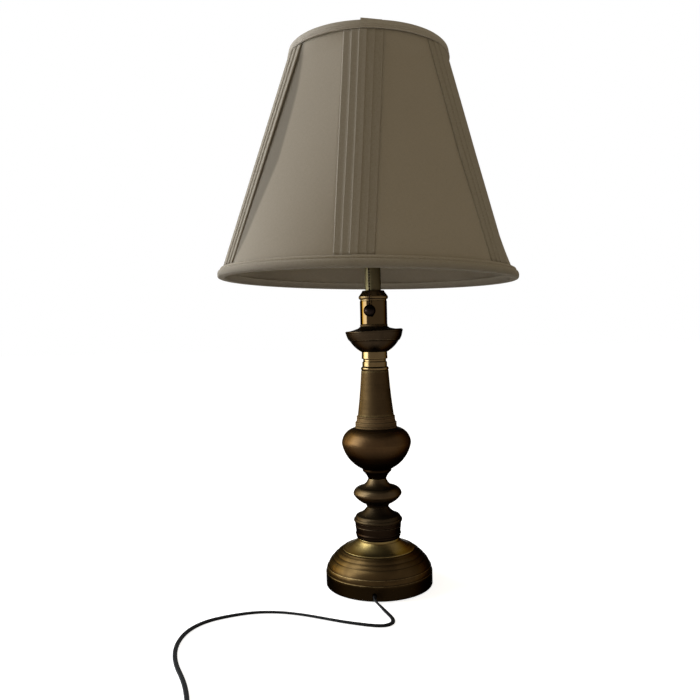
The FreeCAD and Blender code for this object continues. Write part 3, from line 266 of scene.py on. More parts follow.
def turnedMesh(outline, height=0.0, steps=turning["steps"], edge=turning["edge"]):
    bm = bmesh.new()
    wearLayer = bm.verts.layers.float.new("wear")
    corners = [Vector((p[0], p[1])) * mm for p in outline]
    swells = [p[2] if len(p) > 2 else 0.0 for p in outline]
    hold = turning["hold"] * mm
    ring, sharp = [], []

    def addVert(point, wear=0.5):
        vert = bm.verts.new((point.x, 0, point.y + height * mm))
        vert[wearLayer] = wear
        ring.append(vert)
        return vert

    for i, corner in enumerate(corners):
        after = (i + 1) % len(corners)
        before = corners[i - 1]
        into = (corner - arcPoints(before, corner, swells[i])[-2]) if swells[i] else corner - before
        away = arcPoints(corner, corners[after], swells[after])[0] - corner
        turn = into.cross(away) / max(into.length * away.length, 1e-12)
        vert = addVert(corner, 0.5 + 0.5 * max(-1, min(1, turn * turning["wearGain"])))
        if abs(turn) > turning["sharpTurn"]:
            sharp.append(vert)
        run = corners[after] - corner
        if not swells[after] and run.length > 2.5 * hold:
            # points close to both corners keep the shading of a straight wall straight
            share = hold / run.length
            addVert(corner + run * share)
            addVert(corner + run * (1 - share))
        for point in arcPoints(corner, corners[after], swells[after])[:-1]:
            addVert(point)
    for start, end in zip(ring, ring[1:] + ring[:1]):
        bm.edges.new((start, end))
    if edge:
        bmesh.ops.bevel(bm, geom=sharp, offset=edge * mm, offset_type="OFFSET", segments=2,
                        profile=0.5, affect="VERTICES", clamp_overlap=True, material=-1)
    bmesh.ops.spin(bm, geom=bm.verts[:] + bm.edges[:], cent=(0, 0, 0), axis=(0, 0, 1),
                   angle=2 * math.pi, steps=steps, use_merge=True, use_duplicate=False)
    bmesh.ops.remove_doubles(bm, verts=bm.verts, dist=1e-6)
    bmesh.ops.recalc_face_normals(bm, faces=bm.faces)
    return bm


# radius of the rod's hole through the stem, and how far the pan's rim is bent up on the right: from
# the first "bent" height on, and fully at the second
bore = 5.2
panLean = 2.4
turnedPieces = {
    "base_bell": {"height": 44.0, "finish": bellBrass, "outline": [
        (39, 0), (44, 0), (44, 0.9), (25.8, 10.8, -0.14), (25.8, 13.3), (bore, 13.3), (bore, 10.8),
        (20.8, 10.8)]},
    "stem_drum": {"height": 57.3, "finish": drumBrass, "outline": [
        (21.8, 0), (25.8, 0), (27.1, 3.2, 0.2), (27.1, 4.2), (27.1, 6.8, 0.5), (27.1, 7.8),
        (28.0, 14.6), (27.3, 15.1), (28.0, 15.9), (28.2, 19.6), (24.8, 19.6)]},
    "drum_cap": {"height": 79.3, "finish": lipBrass, "outline": [
        (bore, -2.4), (28.7, -2.4), (29.2, 1.2, 0.4), (28.1, 1.8), (26.6, 5.0, 0.15), (25.4, 5.6),
        (13.1, 15.3, -0.17), (bore, 15.3)]},
    "stem_knob": {"height": 94.6, "finish": darkBrass, "outline": [
        (bore, 0), (13.1, 0), (16.2, 4.6, -0.15), (29.2, 15.3, 0.16), (29.2, 18.1, 0.2),
        (22, 24.6, 0.3), (11.05, 34.7, -0.28), (bore, 34.7)]},
    "stem_vase": {"height": 129.3, "finish": vaseBrass, "outline": [
        (bore, 0), (11.05, 0), (16.6, 8.4, -0.12), (17.6, 11.4, 0.35), (17.3, 11.9),
        (42.3, 43.6, 0.25), (26.6, 62.1, 0.36), (20.6, 62.1), (20.6, 58.1), (34.3, 47.6),
        (34.3, 39.6), (13, 17), (bore, 15)]},
    "vase_collar": {"height": 191.4, "finish": collarBrass, "outline": [
        (bore, 0), (25.2, 0), (25.2, 2.2, 0.4), (24.6, 2.5), (25.2, 3.0), (25.2, 7.2), (24.0, 7.8),
        (23.4, 11.9, -0.1), (22.9, 12.5), (22.9, 14.8, 0.5), (bore, 14.8)]},
    "stem_column": {"height": 206.2, "finish": columnBrass, "outline": [
        (19.2, 0), (22.2, 0), (16.7, 55.2, -0.02), (13.7, 55.2)]},
    "column_ring": {"height": 261.4, "finish": neckBrass, "outline": [
        (bore, 0), (15.6, 0), (15.6, 4.6, 0.6), (bore, 4.6)]},
    "stem_neck": {"height": 266.0, "finish": neckBrass, "outline": [
        (bore, 0), (15.1, 0), (15.1, 5.8), (14.0, 6.4), (14.0, 9.2), (15.8, 9.8), (15.5, 18.1),
        (bore, 18.1)]},
    "drip_pan": {"height": 284.1, "finish": panBronze, "outline": [
        (bore, 0), (16, 0), (29.2, 12.6, 0.12), (29.8, 13.4), (31.2, 14.4), (34.6, 23.6, 0.1),
        (34.6, 26.0, 0.4), (33.2, 26.6), (32.9, 24.6), (30.6, 22.1), (27.4, 15), (14, 3.5),
        (bore, 3.5)], "bent": (20.0, 26.5)},
    "pan_lid": {"height": 306.2, "finish": lidBronze, "outline": [
        (30.3, 1.6), (32.8, 2.6), (32.4, 4.0), (21.5, 6.2, -0.06), (17.2, 8.6, -0.2), (bore, 8.6),
        (bore, 7.3), (15.9, 7.3), (20.2, 5.0, 0.2)], "bent": (8.6, 3.0)},
    "candle_ring": {"height": 314.8, "finish": collarBrass, "outline": [
        (bore, 0), (16.4, 0), (16.4, 2.6, 0.4), (bore, 2.6)]},
    "candle_sleeve": {"height": 317.4, "finish": sleeveBrass, "outline": [
        (14.8, 0), (16.5, 0), (16.5, 28.4), (14.8, 28.4)]},
    "candle_cap": {"height": 345.8, "finish": capBrass, "outline": [
        (bore, 0), (16.0, 0), (16.0, 1.9), (17.6, 2.7), (17.9, 5.5, 0.12), (13.6, 11.4),
        (13.3, 12.6), (bore, 12.6)]},
    "neck_tube": {"height": 358.4, "finish": tubeBrass, "outline": [
        (8, 0), (9.5, 0), (9.5, 64.3), (8, 64.3)]},
}
for node, settings in turnedPieces.items():
    bm = turnedMesh(settings["outline"], settings["height"])
    if "bent" in settings:
        low, high = ((settings["height"] + h) * mm for h in settings["bent"])
        for vert in bm.verts:
            share = max(0.0, min(1.0, (vert.co.z - low) / (high - low)))
            vert.co.z += share * vert.co.x * math.tan(math.radians(panLean))
    piece = finishPiece(node + "Turned", bm, settings["finish"], "stand")
    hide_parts(node)
print("stem turned")

# base shell with its cord slot, cut from inside the rim outwards and open below
baseShell = {
    "height": 0.7, "steps": 192, "slotWidth": 4.8, "slotHeight": 10.0, "slotAngle": -5.3,
    "cutFrom": 52.0, "cutLength": 20.0, "cutBelow": 2.0,
    "outline": [
        (62.8, 0), (63.4, 0), (65, 1.6, 0.41), (65, 17.1), (64, 17.7), (63.2, 23.3, 0.14),
        (62.2, 23.9), (57.4, 32.2, 0.14), (56.4, 32.8), (52.8, 36.9, 0.14), (51.8, 37.5),
        (47.8, 41.3, 0.14), (46.8, 41.9), (44.4, 43.3, 0.1), (bore, 43.3), (bore, 40.8),
        (44.6, 40.8), (62.8, 14.9)]}


def bakeModifiers(piece):
    scene.view_layers[0].update()
    evaluated = piece.evaluated_get(bpy.context.evaluated_depsgraph_get())
    mesh = bpy.data.meshes.new_from_object(evaluated)
    old = piece.data
    piece.modifiers.clear()
    piece.data = mesh
    bpy.data.meshes.remove(old)


def slotCutter(settings):
    bm = bmesh.new()
    half = settings["slotWidth"] / 2 * mm
    made = bmesh.ops.create_circle(bm, cap_ends=True, cap_tris=False, segments=40, radius=half)
    for vert in made["verts"]:
        if vert.co.y < 1e-7:
            vert.co.y -= (settings["slotHeight"] + settings["cutBelow"]) * mm - half
    top = (settings["height"] + settings["slotHeight"]) * mm - half
    bmesh.ops.rotate(bm, verts=bm.verts, matrix=Matrix.Rotation(math.radians(90), 3, "X"))
    bmesh.ops.translate(bm, verts=bm.verts, vec=(0, -settings["cutFrom"] * mm, top))
    grown = bmesh.ops.extrude_face_region(bm, geom=bm.faces[:])
    moved = [v for v in grown["geom"] if isinstance(v, bmesh.types.BMVert)]
    bmesh.ops.translate(bm, verts=moved, vec=(0, -settings["cutLength"] * mm, 0))
    bmesh.ops.rotate(bm, verts=bm.verts,
                     matrix=Matrix.Rotation(math.radians(settings["slotAngle"]), 3, "Z"))
    bmesh.ops.recalc_face_normals(bm, faces=bm.faces)
    mesh = bpy.data.meshes.new("slotCutter")
    bm.to_mesh(mesh)
    bm.free()
    cutter = bpy.data.objects.new("slotCutter", mesh)
    scene.collection.objects.link(cutter)
    return cutter


shellMesh = turnedMesh(baseShell["outline"], baseShell["height"], baseShell["steps"])
shellPiece = finishPiece("baseShellSpun", shellMesh, bandBronze, "stand")
cutter = slotCutter(baseShell)
boolean = shellPiece.modifiers.new("slot", "BOOLEAN")
boolean.operation, boolean.solver, boolean.object = "DIFFERENCE", "EXACT", cutter
bakeModifiers(shellPiece)
bpy.data.objects.remove(cutter)
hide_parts("base_shell")
print("base spun")

# plain finishes for the other metal, plastic and card pieces


def plainMetal(name, colour, stain, rough, bumps=0.15):
    s = Shader(name)
    flat = s.place()
    cloud = s.noise(flat, 60, 4, 0.6)
    grain = s.noise(flat, 700, 3, 0.6)
    body = s.mix(s.spread(cloud, 0.4, 0.7, 0, 0.7), colour, stain)
    dull = s.spread(cloud, 0.3, 0.7, rough[0], rough[1])
    return s.finish(Base_Color=body, Metallic=1.0, Roughness=dull,
                    Normal=s.bump(grain, bumps, 0.00005))


def mouldedPlastic(name, colour, rough, speck=0.1, lift=1.6, shine=0.5):
    s = Shader(name)
    flat = s.place()
    cloud = s.noise(flat, 90, 3)
    grain = s.noise(flat, 1500, 2)
    body = s.mix(s.spread(cloud, 0.35, 0.7), colour, tuple(min(1, c * lift) for c in colour))
    dull = s.spread(cloud, 0.3, 0.7, rough[0], rough[1])
    return s.finish(Base_Color=body, Roughness=dull, Normal=s.bump(grain, speck, 0.00004),
                    Specular_IOR_Level=shine)


def cardStock(name, colour, deep):
    s = Shader(name)
    fibre = s.noise(s.place((300, 300, 1400)), 1.0, 4, 0.7)
    body = s.mix(s.spread(fibre, 0.35, 0.65), colour, deep)
    return s.finish(Base_Color=body, Roughness=0.85, Normal=s.bump(fibre, 0.3, 0.0001))


def castIron(name):
    s = Shader(name)
    sand = s.noise(s.place(), 900, 5, 0.7)
    rust = s.noise(s.place(), 55, 5, 0.65, 0.8)
    body = s.ramp(rust, [(0.4, (0.035, 0.034, 0.033)), (0.62, (0.05, 0.042, 0.036)),
                         (0.75, (0.12, 0.05, 0.022))])
    return s.finish(Base_Color=body, Metallic=0.6, Roughness=s.spread(rust, 0.3, 0.7, 0.55, 0.85),
                    Normal=s.bump(sand, 0.6, 0.0003))


def feltCloth(name):
    s = Shader(name)
    fibre = s.noise(s.place(), 1300, 5, 0.75, 1.2)
    wear = s.noise(s.place(), 30, 3)
    body = s.mix(s.spread(fibre, 0.3, 0.7), (0.010, 0.030, 0.016), (0.03, 0.07, 0.04))
    body = s.mix(s.spread(wear, 0.5, 0.8, 0, 0.4), body, (0.06, 0.075, 0.055))
    return s.finish(Base_Color=body, Roughness=0.95, Sheen_Weight=0.4,
                    Normal=s.bump(fibre, 0.8, 0.0004))


def opalGlass(name):
    s = Shader(name)
    cloud = s.noise(s.place(), 25, 2)
    body = s.mix(cloud, (0.86, 0.85, 0.81), (0.93, 0.92, 0.89))
    return s.finish(Base_Color=body, Roughness=s.spread(cloud, 0.3, 0.7, 0.22, 0.34),
                    Subsurface_Weight=0.35, Subsurface_Scale=0.01, Coat_Weight=0.3)


zincSteel = plainMetal("zincSteel", (0.55, 0.55, 0.54), (0.36, 0.35, 0.33), (0.28, 0.5))
blackWire = plainMetal("blackWire", (0.34, 0.33, 0.31), (0.16, 0.12, 0.08), (0.35, 0.6))
bulbMetal = plainMetal("bulbMetal", (0.74, 0.73, 0.70), (0.5, 0.48, 0.44), (0.22, 0.42))
switchPlastic = mouldedPlastic("switchPlastic", (0.018, 0.013, 0.012), (0.35, 0.55))
plugPlastic = mouldedPlastic("plugPlastic", (0.012, 0.0115, 0.011), (0.38, 0.55), 0.35, shine=0.2)
cordRubber = mouldedPlastic("cordRubber", (0.0075, 0.007, 0.0068), (0.45, 0.6), 0.3, 1.8, 0.025)
linerCard = cardStock("linerCard", (0.42, 0.34, 0.22), (0.28, 0.21, 0.12))
carriedFinishes = {
    "felt_pad": feltCloth("baseFelt"), "base_weight": castIron("castIron"),
    "base_washer": zincSteel, "rod_nut": zincSteel, "threaded_rod": zincSteel,
    "socket_set_screw": zincSteel, "switch_pin": zincSteel, "socket_liner": linerCard,
    "socket_body": switchPlastic, "switch_rotor": switchPlastic, "screw_shell": bulbMetal,
    "centre_contact": harpBrass, "terminal_screws": harpBrass, "bulb_tip": zincSteel,
    "inner_cord": cordRubber, "cord_knot": cordRubber, "socket_wires": cordRubber,
    "cord_tie": plugPlastic, "plug_blades": bulbMetal,
}
for node, material in carriedFinishes.items():
    solid = bpy.data.objects[node].data
    solid.materials.clear()
    solid.materials.append(material)


def polishedCopy(node, material, body, angle=28):
    # a merged copy of the solid's own surface, so that its shading runs smooth
    source = bpy.data.objects[node]
    bm = bmesh.new()
    bm.from_mesh(source.data)
    bmesh.ops.remove_doubles(bm, verts=bm.verts, dist=2e-6)
    wearLayer = bm.verts.layers.float.new("wear")
    for vert in bm.verts:
        vert[wearLayer] = 0.5
    piece = finishPiece(node + "Polished", bm, material, body, angle)
    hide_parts(node)
    return piece


polishedPieces = {
    "socket_cap": (columnBrass, "stand"), "socket_shell": (columnBrass, "stand"),
    "chain_guide": (harpBrass, "stand"), "harp_saddle": (harpBrass, "stand"),
    "harp_wire": (harpBrass, "stand"), "harp_stud": (harpBrass, "stand"),
    "harp_sleeve_left": (harpBrass, "sleeve_left"), "harp_sleeve_right": (harpBrass, "sleeve_right"),
    "finial": (darkBrass, "finial"), "bulb_glass": (opalGlass("opalGlass"), "bulb"),
    "bulb_cap": (bulbMetal, "bulb"), "pull_ball": (ballBronze, "pull"),
    "pull_chain": (ballBronze, "pull"), "shade_spider": (harpBrass, "shade"),
    "shade_struts": (blackWire, "shade"), "shade_bottom_ring": (blackWire, "shade"),
    "shade_top_ring": (blackWire, "shade"),
}
# the pull ball is a little larger than its solid, about its own middle, and hangs a little higher
pullBall = {"middle": (-4.7, -26.6, 332.4), "lift": 1.1, "scale": 1.08}
for node, (material, body) in polishedPieces.items():
    piece = polishedCopy(node, material, body)
    if node == "pull_ball":
        middle, lift = Vector(pullBall["middle"]) * mm, Vector((0, 0, pullBall["lift"])) * mm
        piece.data.transform(Matrix.Translation(middle + lift)
                             @ Matrix.Scale(pullBall["scale"], 4) @ Matrix.Translation(-middle))
print("other solids finished")

# shade: drawn upright about the spider's underside, then leant

shade = {
    "lean": 1.5, "pivot": 626.0, "top": 18.2, "bottom": -255.3, "bottomRadius": 176.3,
    "topRadius": 91.9, "ribAngles": [-5 + 60 * i for i in range(6)], "ribWidth": 40.0,
    "fabricInset": 3.9, "rows": 60, "steps": 360, "stripHold": 2.0, "bandUnder": 3.0, "bandFade": 3.0,
    # by height: how much of the way the cloth is drawn flat between two strips, and how wide the
    # painted shade band beside the left strip is
    "flatness": [(-251.5, 0.0), (-225, 0.22), (-150, 0.62), (-70, 0.86), (-12, 0.86), (14, 0.0)],
    "bandRib": -65, "bandWidth": [(-240, 6), (-215, 15), (-130, 27), (-50, 21), (0, 11), (14, 10)],
}
leanPlace = (Matrix.Translation((0, 0, shade["pivot"] * mm))
             @ Matrix.Rotation(math.radians(shade["lean"]), 4, "Y"))


def coverAt(z):
    share = (z - shade["bottom"]) / (shade["top"] - shade["bottom"])
    return shade["bottomRadius"] + (shade["topRadius"] - shade["bottomRadius"]) * share


def fromRib(angle):
    # signed angle in degrees from the nearest rib
    return (angle - shade["ribAngles"][0] + 30) % 60 - 30


def azimuthOf(co):
    return math.degrees(math.atan2(co.x, -co.y))


def addShadeUv(bm):
    # u: metres round the shade from the nearest rib, v: metres up from the bottom edge
    layer = bm.loops.layers.uv.new("shadeUv")
    for face in bm.faces:
        middle = fromRib(azimuthOf(face.calc_center_median()))
        for loop in face.loops:
            co = loop.vert.co
            across = fromRib(azimuthOf(co))
            if across - middle > 30:
                across -= 60
            elif across - middle < -30:
                across += 60
            loop[layer].uv = (math.radians(across) * math.hypot(co.x, co.y),
                              co.z - shade["bottom"] * mm)


def readLine(line, place):
    for (a, first), (b, second) in zip(line, line[1:]):
        if place <= b:
            return first + (second - first) * max(0.0, min(1.0, (place - a) / (b - a)))
    return line[-1][1]


def panelSink(co):
    # the cloth is stretched nearly flat from one strip to the next
    z = co.z / mm
    radius = coverAt(z)
    across = 30 - abs(fromRib(azimuthOf(co)))
    edge = 30 - math.degrees((shade["ribWidth"] / 2 - shade["stripHold"]) / radius)
    chord = radius * math.cos(math.radians(edge)) / math.cos(math.radians(across))
    return max(0.0, (radius - chord) * readLine(shade["flatness"], z))


def paintedBandShare(co):
    # 1 on the painted shade band beside the left strip, fading to 0 at its edge
    z = co.z / mm
    radius = math.hypot(co.x, co.y) / mm
    beside = math.radians((azimuthOf(co) - shade["bandRib"] + 180) % 360 - 180) * radius
    beside -= shade["ribWidth"] / 2 - shade["bandUnder"]
    if beside < -shade["ribWidth"] / 2:
        return 0.0
    inside = readLine(shade["bandWidth"], z) - beside
    return max(0.0, min(1.0, inside / shade["bandFade"] + 0.5))


def faceOutward(bm):
    bmesh.ops.recalc_face_normals(bm, faces=bm.faces)
    for face in bm.faces:
        middle = face.calc_center_median()
        if face.normal.dot(Vector((middle.x, middle.y, 0))) < 0:
            face.normal_flip()


def thicken(piece, wall, offset=-1):
    solid = piece.modifiers.new("thickness", "SOLIDIFY")
    solid.thickness, solid.offset = wall * mm, offset
    bakeModifiers(piece)


# cloth: threads both ways and some slubs on the piece's own map, which is in metres
weave = {"warp": (2600, 260, 1), "weft": (240, 2400, 1), "slubs": (30, 420, 1), "clouds": 9,
         "bump": 0.35, "depth": 0.00025, "paintedBandDark": 0.3, "paintedUndersideDark": 0.45, "paintedUndersideHeight": 0.0095}


def fabricSurface(name, colour, deep, through, rough=0.9, paintedUnderside=0.0, paintedBandStrength=0.0):
    # through: how much light passes; the last two: how strong the painted shade along the bottom edge
    # and the painted shade band beside the left strip are
    s = Shader(name)
    uv = s.place((1, 1, 1), "UV")
    along = s.noise(s.add("Mapping", {"Vector": uv, "Scale": weave["warp"]}), 1.0, 2, 0.6)
    across = s.noise(s.add("Mapping", {"Vector": uv, "Scale": weave["weft"]}), 1.0, 2, 0.6)
    thread = s.math("ADD", along, across)
    cloud = s.noise(s.place(), weave["clouds"], 3, 0.5)
    slub = s.noise(s.add("Mapping", {"Vector": uv, "Scale": weave["slubs"]}), 1.0, 3, 0.6)
    body = s.mix(s.spread(thread, 0.8, 1.2), deep, colour)
    body = s.mix(s.spread(cloud, 0.35, 0.7, 0, 0.3), body, tuple(c * 0.88 for c in colour))
    body = s.mix(s.spread(slub, 0.6, 0.8, 0, 0.2), body, tuple(min(1, c * 1.1) for c in colour))
    # painted shade: the band beside the left strip is darkened into the cloth's colour
    if paintedBandStrength:
        paintedBand = s.add("Attribute", attribute_name="paintedBand").outputs["Fac"]
        body = s.mix(s.spread(paintedBand, 0, 1, 0, paintedBandStrength), body,
                     tuple(c * weave["paintedBandDark"] for c in colour))
    # painted shade: the cloth darkens towards its bottom edge, where the downward-facing trim gets less
    # light
    if paintedUnderside:
        height = s.add("SeparateXYZ", {0: uv}).outputs["Y"]
        body = s.mix(s.spread(height, 0.0, weave["paintedUndersideHeight"], paintedUnderside, 0), body,
                     tuple(c * weave["paintedUndersideDark"] for c in colour))
    shape = s.bump(thread, weave["bump"], weave["depth"])
    s.finish(Base_Color=body, Roughness=rough, Normal=shape, Specular_IOR_Level=0.03)
    light = s.add("BsdfTranslucent", {"Color": body, "Normal": shape})
    both = s.add("MixShader", {0: through, 1: s.surface.outputs[0], 2: light.outputs[0]})
    s.tree.links.new(both.outputs[0], s.output.inputs["Surface"])
    return s.material


coverCloth = fabricSurface("coverCloth", (0.495, 0.438, 0.347), (0.437, 0.386, 0.304), 0.3,
                           paintedBandStrength=0.52)
pleatCloth = fabricSurface("pleatCloth", (0.36, 0.316, 0.248), (0.295, 0.258, 0.20), 0.1)
# painted light and shade: the two trims are one cloth, the bottom trim's colour made darker and the top
# trim's lighter for the light each gets
trimCloth = fabricSurface("trimCloth", (0.40, 0.352, 0.275), (0.315, 0.275, 0.21), 0.05, paintedUnderside=0.9)
topCloth = fabricSurface("topCloth", (0.46, 0.415, 0.345), (0.37, 0.33, 0.265), 0.05)
liningCloth = fabricSurface("liningCloth", (0.52, 0.462, 0.37), (0.45, 0.40, 0.315), 0.58, 0.8)


def coneSheet(name, inset, wall, material):
    bm = bmesh.new()
    low, high = shade["bottom"] + shade["fabricInset"], shade["top"] - shade["fabricInset"]
    verts = []
    for i in range(shade["rows"] + 1):
        z = low + (high - low) * i / shade["rows"]
        verts.append(bm.verts.new(((coverAt(z) - inset) * mm, 0, z * mm)))
    for a, b in zip(verts, verts[1:]):
        bm.edges.new((a, b))
    firstRib = math.radians(shade["ribAngles"][0] - 90)
    bmesh.ops.rotate(bm, verts=bm.verts, matrix=Matrix.Rotation(firstRib, 3, "Z"))
    bmesh.ops.spin(bm, geom=bm.verts[:] + bm.edges[:], cent=(0, 0, 0), axis=(0, 0, 1),
                   angle=2 * math.pi, steps=shade["steps"], use_merge=True, use_duplicate=False)
    bmesh.ops.remove_doubles(bm, verts=bm.verts, dist=1e-6)
    faceOutward(bm)
    addShadeUv(bm)
    paintedBandLayer = bm.verts.layers.float.new("paintedBand")
    for vert in bm.verts:
        out = Vector((vert.co.x, vert.co.y, 0)).normalized()
        # the painted shade band's share, kept for the cloth's colour
        vert[paintedBandLayer] = paintedBandShare(vert.co)
        vert.co -= out * panelSink(vert.co) * mm
    piece = finishPiece(name, bm, material, "shade", 60)
    thicken(piece, wall)
    piece.data.transform(leanPlace)
    return piece


coverPiece = coneSheet("shadeCoverCloth", 0.0, 0.8, coverCloth)
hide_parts("shade_cover")
liningPiece = coneSheet("shadeLiningCloth", 3.2, 0.6, liningCloth)
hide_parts("shade_lining")

# pleated strips: five equal folds stepping up to the middle, each with a soft rolled edge
pleats = {
    "folds": [-21.8, -13.1, -4.6], "steps": [0.85, 0.75, 0.65], "roll": 0.28,
    # a fold's points: across from the fold, shares of its step and of its roll, and a rise
    "foldShape": [(-0.55, 0, 0, -0.12), (-0.05, 0.35, 0, 0), (0.12, 1, 0, 0), (0.5, 1, 1, 0),
                  (1.2, 1, 0.8, 0), (2.8, 1, 0, 0.05), (5.6, 1, 0, -0.05)],
    "low": 12.2, "high": 11.2, "rows": 60, "lift": 0.3, "narrow": 0.92, "wall": 0.3,
    "wander": 0.4, "waves": 5,
    # how far each strip sits off its rib, at the top, in the middle and at the bottom
    "shift": {-5: (4.0, 4.0, 3.4), 55: (3.0, 1.5, 4.5), -65: (2.5, -0.5, -4.0)}}


def pleatSection(settings):
    half = []
    height = 0.0
    for fold, step in zip(settings["folds"], settings["steps"]):
        half += [(fold + across, height + step * climb + settings["roll"] * curl + rise)
                 for across, climb, curl, rise in settings["foldShape"]]
        height += step
    return half + [(-x, y) for x, y in reversed(half)]


def pleatedStrips(settings):
    section = pleatSection(settings)
    foldCount, foldPoints = 2 * len(settings["folds"]), len(settings["foldShape"])
    low, high = shade["bottom"] + settings["low"], shade["top"] - settings["high"]
    bm = bmesh.new()
    for ribAngle in shade["ribAngles"]:
        wander = random.Random(ribAngle * 3 + 11)
        shifts = [wander.uniform(-settings["wander"], settings["wander"]) for _ in range(foldCount)]
        top, middle, bottom = settings["shift"].get(ribAngle, (1.0, 0.5, 0.0))
        made = bmesh.ops.create_grid(bm, x_segments=len(section) - 1, y_segments=settings["rows"],
                                     size=0.5)
        for vert in made["verts"]:
            column = round((vert.co.x + 0.5) * (len(section) - 1))
            fold = column // foldPoints
            share = vert.co.y + 0.5
            z = low + (high - low) * share
            across, height = section[column]
            across *= settings["narrow"] + (1 - settings["narrow"]) * share
            across += shifts[fold] * math.sin(share * settings["waves"] + fold)
            across += readLine([(0, bottom), (0.5, middle), (1, top)], share)
            radius = coverAt(z) + settings["lift"] + height
            turn = math.radians(ribAngle) + across / coverAt(z)
            vert.co = Vector((math.sin(turn) * radius, -math.cos(turn) * radius, z)) * mm
    faceOutward(bm)
    addShadeUv(bm)
    piece = finishPiece("shadePleatCloth", bm, pleatCloth, "shade", 50)
    thicken(piece, settings["wall"])
    piece.data.transform(leanPlace)
    return piece


pleatPiece = pleatedStrips(pleats)
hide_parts("shade_pleats")
print("shade cloth hung")

# folded trims: a band with a corded edge, wrapped round the ring; offsets from the cover's surface
bottomTrim = {"edge": shade["bottom"], "up": 1, "section": [
    (-4.2, 8.5), (-4.9, 8.5), (-4.9, 0.6), (-4.2, 0.0), (1.0, -0.1), (2.6, 0.5), (3.8, 1.8),
    (4.7, 4.2), (5.1, 6.6), (4.7, 7.9), (3.4, 8.6), (2.9, 9.1), (3.3, 9.7), (3.6, 10.6),
    (3.2, 11.7), (2.2, 12.3), (1.0, 12.4), (0.3, 12.2), (0.3, 0.7), (-4.1, 0.7)],
    "seam": {"from": -4.4, "span": 9, "off": 0.9, "peak": 0.3, "rows": 10}}
topTrim = {"edge": shade["top"], "up": -1, "section": [
    (-4.2, 8.5), (-4.9, 8.5), (-4.9, 0.6), (-4.2, 0.0), (0.6, -0.1), (2.4, 0.4), (3.3, 1.6),
    (3.3, 3.4), (2.9, 5.6), (2.3, 6.3), (2.5, 6.7), (2.9, 7.3), (2.6, 8.0), (2.1, 8.3),
    (2.3, 8.7), (2.6, 9.4), (2.2, 10.2), (1.2, 10.6), (0.3, 10.4), (0.3, 0.7), (-4.1, 0.7)],
    "seam": {"from": -4.6, "span": 14, "off": 0.9, "peak": 1.5, "rows": 14}}
# the lap that both trims have: its wall, how it clears the band and where it starts to peak
trimLapSet = {"wall": 0.5, "inside": 0.2, "clear": 0.1, "fade": 1.5, "peakFrom": 5.0}


def trimPoints(settings):
    points = []
    for across, rise in settings["section"]:
        z = settings["edge"] + rise * settings["up"]
        points.append((coverAt(z) + across, z))
    if settings["up"] < 0:
        points.reverse()
    return points


def trimLap(settings):
    # the band's free end laps over its start, lifted a little there
    seam = settings["seam"]
    points = [Vector((r, 0, z)) * mm for r, z in trimPoints(settings)
              if r > coverAt(z) + trimLapSet["inside"]]
    bm = bmesh.new()
    verts = [bm.verts.new(p) for p in points]
    for a, b in zip(verts, verts[1:]):
        bm.edges.new((a, b))
    bmesh.ops.rotate(bm, verts=bm.verts,
                     matrix=Matrix.Rotation(math.radians(seam["from"] - 90), 3, "Z"))
    bmesh.ops.spin(bm, geom=bm.verts[:] + bm.edges[:], cent=(0, 0, 0), axis=(0, 0, 1),
                   angle=math.radians(seam["span"]), steps=seam["rows"], use_duplicate=False)
    faceOutward(bm)
    peakHeight = (settings["edge"] + trimLapSet["peakFrom"] * settings["up"]) * mm
    for vert in bm.verts:
        share = (azimuthOf(vert.co) - seam["from"]) / seam["span"]
        left = max(0.0, 1 - share) ** trimLapSet["fade"]
        out = Vector((vert.co.x, vert.co.y, 0)).normalized()
        vert.co += out * (trimLapSet["clear"] + seam["off"] * left) * mm
        if (vert.co.z - peakHeight) * settings["up"] < 0:
            vert.co.z -= seam["peak"] * left * mm * settings["up"]
    return bm


def trimBand(name, settings, material):
    bm = turnedMesh(trimPoints(settings), 0.0, 240, 0.0)
    lap = trimLap(settings)
    lapMesh = bpy.data.meshes.new("lap")
    lap.to_mesh(lapMesh)
    lap.free()
    holder = bpy.data.objects.new("lap", lapMesh)
    scene.collection.objects.link(holder)
    thicken(holder, trimLapSet["wall"], 0)
    lapMesh = holder.data
    bm.from_mesh(lapMesh)
    bpy.data.objects.remove(holder)
    bpy.data.meshes.remove(lapMesh)
    addShadeUv(bm)
    return finishPiece(name, bm, material, "shade", 60, leanPlace)


bottomPiece = trimBand("bottomTrimCloth", bottomTrim, trimCloth)
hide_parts("shade_bottom_trim")
topPiece = trimBand("topTrimCloth", topTrim, topCloth)
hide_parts("shade_top_trim")
print("trims folded")

